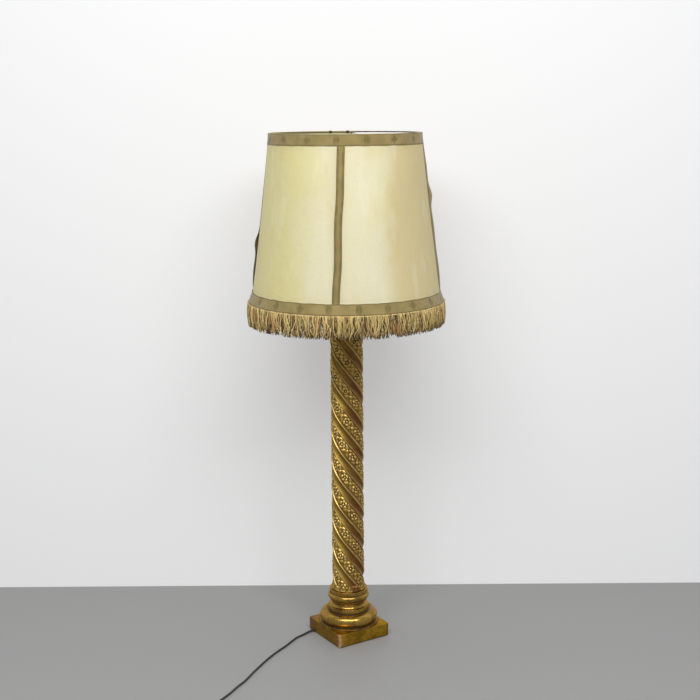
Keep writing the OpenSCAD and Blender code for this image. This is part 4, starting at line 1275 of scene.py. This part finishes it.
# Yellower towards the viewer's left and tan towards the right: partly the parchment's own tone,
# partly painted shade on the sides.
left_reach = parchment.scaled(drift, 0.14, parchment.ahead(LEFT_WAY))
right_reach = parchment.scaled(patchy, 0.07, parchment.ahead(RIGHT_WAY))
left_yellow_and_shade = parchment.span(left_reach, 0.165, 0.27, 0.0, 0.85)
right_tan_and_shade = parchment.span(right_reach, 0.120, 0.19, 0.0, 0.85)
tone = parchment.mix(left_yellow_and_shade, tone, yellowed)
tone = parchment.mix(right_tan_and_shade, tone, tan)
tone = parchment.mix(parchment.span(patchy, 0.52, 0.72, 0.0, 0.30), tone, tan)
streaky = parchment.noise(0.052, detail=3, rough=0.55, stretch=(1, 1, 0.22), twist=0.3)
tone = parchment.mix(parchment.span(streaky, 0.50, 0.66, 0.0, 0.30), tone, yellowed)
tone = parchment.mix(parchment.span(streaky, 0.46, 0.34, 0.0, 0.25), tone, (0.73, 0.69, 0.53))
# Darker next to the seams and the bands.
edge_darkening = parchment.times(parchment.fact("edge"), 0.45)
tone = parchment.mix(edge_darkening, tone, (0.42, 0.34, 0.17))
tone = parchment.mix(parchment.span(fibre, 0.35, 0.65, 0.07, 0.0), tone, (0.35, 0.27, 0.11))
parchment.give("Base Color", tone)
parchment.give("Roughness", parchment.scaled(fibre, 0.22, 0.50))
crinkle = parchment.bump(parchment.noise(0.03, detail=4, rough=0.6), 0.0012)
parchment.give("Normal", parchment.bump(fibre, 0.00012, crinkle))
print("parchment ready")

# %% Panels
PANEL_GAP = 2.0
PANEL_ROWS, PANEL_COLUMNS = 110, 90
PANELS = {
    "back_left": ("back", 43), "front_left": ("left", 44),
    "front_right": ("front", 45), "back_right": ("right", 46),
}
for side, (seam, seed) in PANELS.items():
    half_gap = math.degrees(PANEL_GAP / 2 / TOP_RING_R)
    turns = SEAMS[seam] + np.linspace(half_gap, 90 - half_gap, PANEL_COLUMNS)
    heights = np.linspace(COVER_FOOT, SHADE_TOP, PANEL_ROWS)
    turn, z = np.meshgrid(turns, heights)
    u = (turn - SEAMS[seam]) / 90
    radius = wall_radius(z) - sag(turn, z)
    from_seam = np.minimum(u, 1 - u) * 90 * 4.2
    pucker = np.exp(-from_seam / 9) * np.sin(z / 7.5 + 2 * ripple(seed, 60, z))
    above_band = np.clip(z - LOW_BAND_TOP, 0, None)
    creased = np.exp(-above_band / 16) * np.sin(above_band / 2.2)
    creased = creased * np.clip(ripple(seed + 5, 22, u * 100), 0, 1) * (z > LOW_BAND_TOP)
    free = ease(z, LOW_BAND_TOP, LOW_BAND_TOP + 8)
    free = free * (1 - ease(z, TOP_BAND_FOOT - 12, TOP_BAND_FOOT))
    radius = radius + (0.35 * pucker + 0.45 * creased) * free
    ruck = np.sin((SHADE_TOP - z) / 17 + u * 4) * droop(turn) / DROOP
    radius = radius - 1.3 * np.abs(ruck) * free * ease(z, SHADE_TOP - 170, SHADE_TOP - 60)
    z = z - drop_at(turn, z)
    edge = np.exp(-from_seam / 16) + np.exp(-above_band / 7)
    edge = np.clip(edge + np.exp(-np.clip(TOP_BAND_FOOT - z, 0, None) / 7), 0, 1)
    thin_sheet(
        f"parchment_{side}", turn, z, radius + COVER_OUT, radius + COVER_IN,
        parchment.paint, f"cover_panel_{side}", {"edge": edge * free},
    )

# %% [markdown]
# ### Woven braid
# The braid is a jacquard ribbon: a fine chevron ground with small motifs of
# dots at even steps, and a scalloped selvedge on both sides. The narrow braid of
# the seams has rungs across it. All of this is real relief in the mesh. The same relief also says
# where the weave is shadowed and where it catches the light.

# %% Braid finish
braid = Finish("woven_braid", Roughness=0.85)
braid.give("Specular IOR Level", 0.3)
braid.give("Sheen Weight", 0.22)
relief = braid.fact("relief")
dye = braid.noise(0.035, detail=4, rough=0.6)
thread = braid.noise(0.0014, detail=4, rough=0.7)
blush = braid.noise(0.055, detail=3)
olive, straw, umber = (0.246, 0.190, 0.064), (0.325, 0.244, 0.092), (0.055, 0.038, 0.010)
weave = braid.mix(braid.span(dye, 0.36, 0.64), olive, straw)
weave = braid.mix(braid.span(blush, 0.56, 0.70, 0.0, 0.45), weave, (0.330, 0.190, 0.095))
weave = braid.mix(braid.span(relief, 0.55, 0.05, 0.0, 0.95), weave, umber)
weave = braid.mix(braid.span(relief, 0.62, 1.0, 0.0, 0.55), weave, (0.47, 0.36, 0.15))
weave = braid.mix(braid.span(thread, 0.38, 0.62, 0.28, 0.0), weave, umber)
braid.give("Base Color", weave)
braid.give("Normal", braid.bump(thread, 0.00035))
print("braid ready")

# %% Weave relief
CHEVRON_STEP, CHEVRON_WIDE, SCALLOP_STEP, SCALLOP_DEEP = 5.6, 7.5, 5.6, 1.1
MOTIF_EVERY, MOTIF_HALF, DOT_STEP = 82.0, 9.8, 5.2


def weave_relief(along, across, wide, motif_from=None):
    """Height of the weave, 0 to about 1, over places in millimetres."""
    slant = np.abs((across / CHEVRON_WIDE) % 1 - 0.5) * CHEVRON_STEP * 1.3
    ground = 0.60 + 0.34 * np.cos((along + slant) * math.tau / CHEVRON_STEP)
    rim = np.minimum(across, wide - across)
    ground = ground - 0.55 * hump(rim - 1.1, 0.9)
    if motif_from is None:
        return ground
    s = (along - motif_from + MOTIF_EVERY / 2) % MOTIF_EVERY - MOTIF_EVERY / 2
    w = across - wide / 2
    inside = (np.abs(s) + 0.8 * np.abs(w) < 1.35 * MOTIF_HALF) & (np.abs(s) < MOTIF_HALF)
    dots = np.cos(s * math.tau / DOT_STEP) * np.cos(w * math.tau / DOT_STEP)
    motif = np.clip(0.62 - 1.5 * np.maximum(dots, 0), -0.2, 1)
    return np.where(inside, motif, ground)


def scallop(along, side):
    """How far a selvedge is drawn in at a place along it, in millimetres."""
    return SCALLOP_DEEP * np.abs(np.sin(along * math.pi / SCALLOP_STEP + side)) ** 0.7


# %% Bands
RELIEF_TALL = 0.34
BAND_COLUMNS, BAND_ROWS = 1180, 24
LEFT_RISE, LEFT_RISE_WIDE = 11.0, 5.5


def band_sheet(name, foot, head, mid_r, node, radius_at, motif_from, edge_shift):
    """A woven band once round the shade, which starts and ends at the back seam."""
    wide = head - foot
    turns = SEAMS["back"] + np.linspace(0.15, 359.85, BAND_COLUMNS)
    turn, share = np.meshgrid(turns, np.linspace(0, 1, BAND_ROWS))
    along = np.radians(turn) * mid_r
    wave = 0.5 * ripple(51, 45, along)
    low = foot + wave * 0.4 + scallop(along, 0)
    high = head - scallop(along, 0.6) + edge_shift(turn)
    z = low + (high - low) * share
    across = share * wide
    relief = weave_relief(along, across, wide, motif_from)
    radius = radius_at(turn, z) + 0.35 * ripple(52, 28, along, across)
    low_side, high_side = BRAID_IN, BRAID_OUT - RELIEF_TALL / 2 + RELIEF_TALL * (relief - 0.5)
    return thin_sheet(
        name, turn, z - drop_at(turn, z), radius + high_side, radius + low_side,
        braid.paint, node, {"relief": relief},
    )


def low_band_radius(turn, z):
    down = np.clip((LOW_BAND_TOP - z) / (LOW_BAND_TOP - COVER_FOOT), 0, 1)
    return wall_radius(z) - sag(turn, z) + BAND_FLARE * down + 0.4 * (z > LOW_BAND_TOP - 2)


def top_band_radius(turn, z):
    return wall_radius(z) - sag(turn, z) + 0.35


def low_band_edge(turn):
    """The band's top edge climbs in a round corner beside the left seam."""
    a = (turn - SEAMS["left"] + 180) % 360 - 180
    climb = LEFT_RISE * np.exp(-np.abs(a) / LEFT_RISE_WIDE) * (a > -3)
    return climb + 0.3 * ripple(53, 9, a)


bottom_band = band_sheet(
    "woven_band_bottom", COVER_FOOT, LOW_BAND_TOP, 276, "bottom_band",
    low_band_radius, 31.0, low_band_edge,
)
top_band = band_sheet(
    "woven_band_top", TOP_BAND_FOOT, SHADE_TOP, 216, "top_band",
    top_band_radius, 52.0, lambda turn: 0 * turn,
)

# %% [markdown]
# ### Seam braids
# Narrow braid covers the four seams from band to band. On the real lamp it has
# come loose in places and stands away from the cover: near the top at the right,
# and half-way down at the left. The braid's own offset grows there in a soft
# bulge, which shows best against the wall.

# %% Seam braid pieces
SEAM_WIDE, SEAM_ROWS, SEAM_COLUMNS = 22.5, 340, 22
RUNG_DEEP, RUNG_IN, RUNG_WIDE, SEWN_END = 0.9, 4.6, 1.9, 14
SEAM_FOOT, SEAM_HEAD = LOW_BAND_TOP + 0.1, TOP_BAND_FOOT - 0.1
LOOSE = {
    "front": [(1180, 60, 0.6)], "left": [(1190, 27, 8.5), (1115, 55, 5.5)],
    "right": [(1400, 45, 3.0), (1326, 26, 8.5), (1240, 60, 4.5), (1120, 70, 4.5)],
    "back": [(1250, 90, 2.0)],
}
SKEW = {"front": (-4.0, 8.0), "left": (0.0, 1.5), "right": (0.0, -1.0), "back": (1.5, -2.0)}
LIFTED_EDGE = {"front": 0.0, "left": 1.0, "right": 1.0, "back": 0.3}
for seam, bulges in LOOSE.items():
    across, z = np.meshgrid(
        np.linspace(0, SEAM_WIDE, SEAM_COLUMNS), np.linspace(SEAM_FOOT, SEAM_HEAD, SEAM_ROWS)
    )
    side = np.linspace(-1, 1, SEAM_COLUMNS)[None, :]
    wander = 0.9 * ripple(61 + len(seam), 160, z)
    pulled = scallop(z, 0.0) * np.clip(-side, 0, 1) - scallop(z, 0.9) * np.clip(side, 0, 1)
    skew = np.interp(z, (SEAM_FOOT, SEAM_HEAD), SKEW[seam])
    arc_mm = across - SEAM_WIDE / 2 + pulled + wander * 0.6 + skew
    turn = SEAMS[seam] + np.degrees(arc_mm / wall_radius(z))
    relief = weave_relief(z, across, SEAM_WIDE)
    rim = np.minimum(across, SEAM_WIDE - across)
    rung = np.clip(np.cos(z * math.tau / SCALLOP_STEP), 0, 1) * hump(rim - RUNG_IN, RUNG_WIDE)
    relief = relief - RUNG_DEEP * rung * (1 + 0.35 * ripple(67, 24, z, across))
    loose = sum(tall * hump(z - at, reach) for at, reach, tall in bulges)
    ends = ease(z, SEAM_FOOT, SEAM_FOOT + SEWN_END)
    ends = ends * (1 - ease(z, SEAM_HEAD - SEWN_END, SEAM_HEAD))
    cup = 0.5 * (1 - side**2)
    lifted = 1 + LIFTED_EDGE[seam] * ((side + 1) / 2 - 1)
    radius = wall_radius(z) - sag(turn, z) + loose * ends * lifted + cup
    thick = BRAID_OUT - BRAID_IN - RELIEF_TALL / 2
    thin_sheet(
        f"woven_seam_{seam}", turn, z - drop_at(turn, z),
        radius + BRAID_IN + thick + RELIEF_TALL * (relief - 0.5), radius + BRAID_IN,
        braid.paint, f"seam_braid_{seam}", {"relief": relief},
    )

# %% [markdown]
# ### The fringe
# Yarn is looped over a cord and cut, so it hangs in small uneven tufts. Each
# strand is a thin tube with its own length, lean, wave and tone, and strands of
# one tuft lean together, which leaves the dark gaps that give a fringe its depth.
# Strands that hang further in are painted darker as shade, and a few thick inner
# strands are painted near black, as painted shade in the gaps. A two-ply cord runs
# along the top, where the yarn is looped over it, with painted shade in the
# grooves between its plies.

# %% Yarn finish
yarn = Finish("fringe_yarn", Roughness=0.9)
yarn.give("Specular IOR Level", 0.25)
yarn.give("Sheen Weight", 0.08)
shade_of = yarn.fact("tone")
fuzz = yarn.noise(0.0022, detail=4, rough=0.7)
hue = yarn.noise(0.045, detail=3, rough=0.55)
light_yarn, dark_yarn = (0.745, 0.560, 0.238), (0.072, 0.042, 0.010)
strand = yarn.mix(yarn.span(shade_of, 0.0, 1.0), dark_yarn, light_yarn)
strand = yarn.mix(yarn.span(hue, 0.54, 0.68, 0.0, 0.45), strand, (0.42, 0.33, 0.08))
strand = yarn.mix(yarn.span(hue, 0.46, 0.32, 0.0, 0.50), strand, (0.50, 0.25, 0.09))
strand = yarn.mix(yarn.span(fuzz, 0.35, 0.6, 0.35, 0.0), strand, (0.16, 0.10, 0.03))
yarn.give("Base Color", strand)
yarn.give("Normal", yarn.bump(fuzz, 0.0006))
print("yarn ready")

# %% Strands
TUFTS, STRANDS_A_TUFT, STRAND_SIDES, STRAND_PARTS = 460, 6, 4, 7
FRINGE_HEAD, FRINGE_LONG = 1023.5, 65.0
FRINGE_R, FRINGE_DEEP = 280.0, 7.0
YARN_R = 1.36
# The first strands of each tuft hang innermost, thicker, and painted dark as shade in the gaps.
INNER_STRANDS = 2
draw = np.random.default_rng(71)
count = TUFTS * STRANDS_A_TUFT
tuft = np.repeat(np.arange(TUFTS), STRANDS_A_TUFT)
tuft_turn = (tuft + 0.5 + draw.normal(0, 0.14, TUFTS)[tuft]) * math.tau / TUFTS
tuft_wide = math.tau * FRINGE_R / TUFTS
own = draw.uniform(-0.5, 0.5, count)
depth = draw.uniform(-0.5, 0.5, count)
inner = np.arange(count) % STRANDS_A_TUFT < INNER_STRANDS
depth[inner] = -0.5
down = np.linspace(0, 1, STRAND_PARTS + 1)
long_at = FRINGE_LONG * (0.90 + 0.05 * ripple(72, 60, tuft_turn * FRINGE_R))
long_at = long_at * (1 + draw.normal(0, 0.075, count)) + 2.0
long_at = np.clip(long_at, 44, FRINGE_LONG + 1.0)
tuft_lean = 5.5 * ripple(73, 42, tuft_turn * FRINGE_R) + draw.normal(0, 3.5, TUFTS)[tuft]
own_lean = draw.normal(0, 8.5, count)
pinch = (0.35 * np.sin(math.pi * down) ** 0.8)[None, :] * ~inner[:, None]
gather = own[:, None] * tuft_wide * (1.15 - pinch)
lean_by = ((tuft_lean + own_lean) * np.where(inner, 0.3, 1))[:, None] * (down**1.4)[None, :]
curl = draw.uniform(0.9, 4.4, count)[:, None] * np.sin(
    down[None, :] * draw.uniform(4, 11, count)[:, None] + draw.uniform(0, 6, count)[:, None]
)
sideways = gather + lean_by + curl * (down > 0)
bulge = 2.2 * np.sin(math.pi * down)[None, :] * draw.uniform(0.2, 1.3, count)[:, None]
outward = FRINGE_R + depth[:, None] * FRINGE_DEEP + bulge
outward = outward + draw.normal(0, 1.0, count)[:, None] * down[None, :]
strand_turn = tuft_turn[:, None] + sideways / FRINGE_R
strand_z = FRINGE_HEAD - long_at[:, None] * down[None, :]
thick = YARN_R * (draw.uniform(0.75, 1.25, count) * np.where(inner, 1.6, 1))[:, None]
thick = thick * (1.05 - 0.45 * down[None, :] ** 3)
print("strands", count)

# %% Fringe mesh
ring = even_turns(STRAND_SIDES)
ring_in = outward[:, :, None] + thick[:, :, None] * np.cos(ring)
ring_turn = strand_turn[:, :, None] + thick[:, :, None] * np.sin(ring) / FRINGE_R
strand_points = spun(ring_in, ring_turn, strand_z[:, :, None]).reshape(-1, 3)
one = ring_quads(STRAND_PARTS + 1, STRAND_SIDES)[:, ::-1]
per_strand = (STRAND_PARTS + 1) * STRAND_SIDES
strand_faces = (one[None] + (np.arange(count) * per_strand)[:, None, None]).reshape(-1, 4)
# Each strand's tone is random, and painted shade makes it darker the further in it hangs; the inner
# strands are painted near black, as shade. All are lighter at the top and darker towards their
# ends.
strand_tone_and_shade = draw.beta(0.6, 0.85, count) + 0.6 * depth
strand_tone_and_shade = np.where(inner, draw.uniform(0, 0.22, count), strand_tone_and_shade)[:, None, None]
strand_tone_and_shade = strand_tone_and_shade * (1.18 - 0.34 * down[None, :, None])
strand_tone_and_shade = np.clip(strand_tone_and_shade, 0, 1) + 0 * ring_in
PLY_R, CORD_R, PLY_COLUMNS, PLY_SIDES, PLY_TWIST = 281.6, 1.7, 1500, 8, 5.2
cord_turn = even_turns(PLY_COLUMNS)
round_cord = even_turns(PLY_SIDES)
plies = int(math.tau * PLY_R / PLY_TWIST)
twisted = np.cos(2 * round_cord[None, :] + plies * cord_turn[:, None])
cord_r = CORD_R * (0.86 + 0.30 * np.abs(twisted))
LOOPS, LOOP_TALL, HEADING_Z = 230, 1.1, 1020.4
loop_wave = cord_turn * LOOPS / 2 + ripple(74, 90, cord_turn * PLY_R)
loops = LOOP_TALL * np.abs(np.sin(loop_wave))[:, None]
cord_out = PLY_R + cord_r * np.cos(round_cord)[None, :]
cord_z = HEADING_Z + loops + cord_r * np.sin(round_cord)[None, :]
heading = spun(cord_out, cord_turn[:, None], cord_z).reshape(-1, 3)
heading_faces = ring_quads(PLY_COLUMNS, PLY_SIDES, closed=True) + len(strand_points)
# Painted shade in the grooves between the plies, lighter on their crests.
heading_groove_shade = 0.55 + 0.45 * np.abs(twisted)
yarn_fringe = make_piece(
    "yarn_fringe", np.concatenate([strand_points, heading]) * MM,
    np.concatenate([strand_faces, heading_faces]), yarn.paint, "shade",
    ["fringe"], {"tone": np.concatenate([strand_tone_and_shade.ravel(), heading_groove_shade.ravel()])},
)

# %% Strand ends
shaped = bmesh.new()
shaped.from_mesh(yarn_fringe.data)
open_ends = [edge for edge in shaped.edges if edge.is_boundary]
bmesh.ops.holes_fill(shaped, edges=open_ends, sides=STRAND_SIDES)
bmesh.ops.recalc_face_normals(shaped, faces=shaped.faces)
shaped.to_mesh(yarn_fringe.data)
shaped.free()
print("fringe faces", len(yarn_fringe.data.polygons))

# %% [markdown]
# ### The top ring
# The bare wire shows where the cover has slipped. Dark thread is wound round it
# in two places beside the back seam. The ring is a swept circle of wire, and its
# thickness grows over the two windings, with the turns of the thread as ridges.

# %% Wire finish
wire = Finish("frame_wire", Metallic=0.35)
wire_rust = wire.noise(0.012, detail=5, rough=0.65)
wire_colour = wire.mix(
    wire.span(wire_rust, 0.40, 0.62), (0.17, 0.145, 0.105), (0.100, 0.050, 0.024)
)
wire_colour = wire.mix(wire.fact("covered"), wire_colour, (0.270, 0.205, 0.080))
wire_colour = wire.mix(wire.fact("wound"), wire_colour, (0.030, 0.024, 0.018))
wire.give("Base Color", wire_colour)
wire.give("Roughness", wire.span(wire_rust, 0.3, 0.7, 0.38, 0.75))
wire.give("Normal", wire.bump(wire.noise(0.0016, detail=3), 0.0002))
print("wire ready")

# %% Top ring piece
TOP_RING_Z, TOP_WIRE_R, WIND_AT, WIND_HALF = 1498.0, 2.0, (69.6, 55.7), 1.1
RING_COLUMNS, RING_SIDES, THREAD_STEP = 2400, 12, 0.9
ring_turns = np.arange(RING_COLUMNS) * 360 / RING_COLUMNS
wound_here = np.zeros(RING_COLUMNS)
for at in WIND_AT:
    away = np.abs((ring_turns - at + 180) % 360 - 180)
    wound_here = np.maximum(wound_here, 1 - ease(away, WIND_HALF - 0.2, WIND_HALF + 0.2))
thread_ridge = 0.25 * np.abs(np.sin(np.radians(ring_turns) * TOP_RING_R * math.pi / THREAD_STEP))
covered = 1 - np.clip(droop(ring_turns) / DROOP * 4, 0, 1)
covered_r = 0.25 + 0.10 * ripple(81, 12, ring_turns * TOP_RING_R * math.pi / 180)
wire_r = TOP_WIRE_R + wound_here * (1.1 + thread_ridge) + covered * covered_r
sides = even_turns(RING_SIDES)
ring_a = np.radians(ring_turns)[:, None]
ring_r = TOP_RING_R + wire_r[:, None] * np.cos(sides)[None, :]
ring_z = TOP_RING_Z - wire_r[:, None] * np.sin(sides)[None, :]
ring_points = spun(ring_r, ring_a, ring_z)
top_wire = make_piece(
    "top_ring_wire", ring_points.reshape(-1, 3) * MM,
    ring_quads(RING_COLUMNS, RING_SIDES, closed=True), wire.paint, "shade",
    ["top_ring"], {
        "wound": np.repeat(wound_here[:, None], RING_SIDES, axis=1),
        "covered": np.repeat(covered[:, None], RING_SIDES, axis=1),
    },
)

# %% Wires below
give_finish(wire.paint, "centre_ring", "spider_arms", "bottom_ring", "upright_wires")
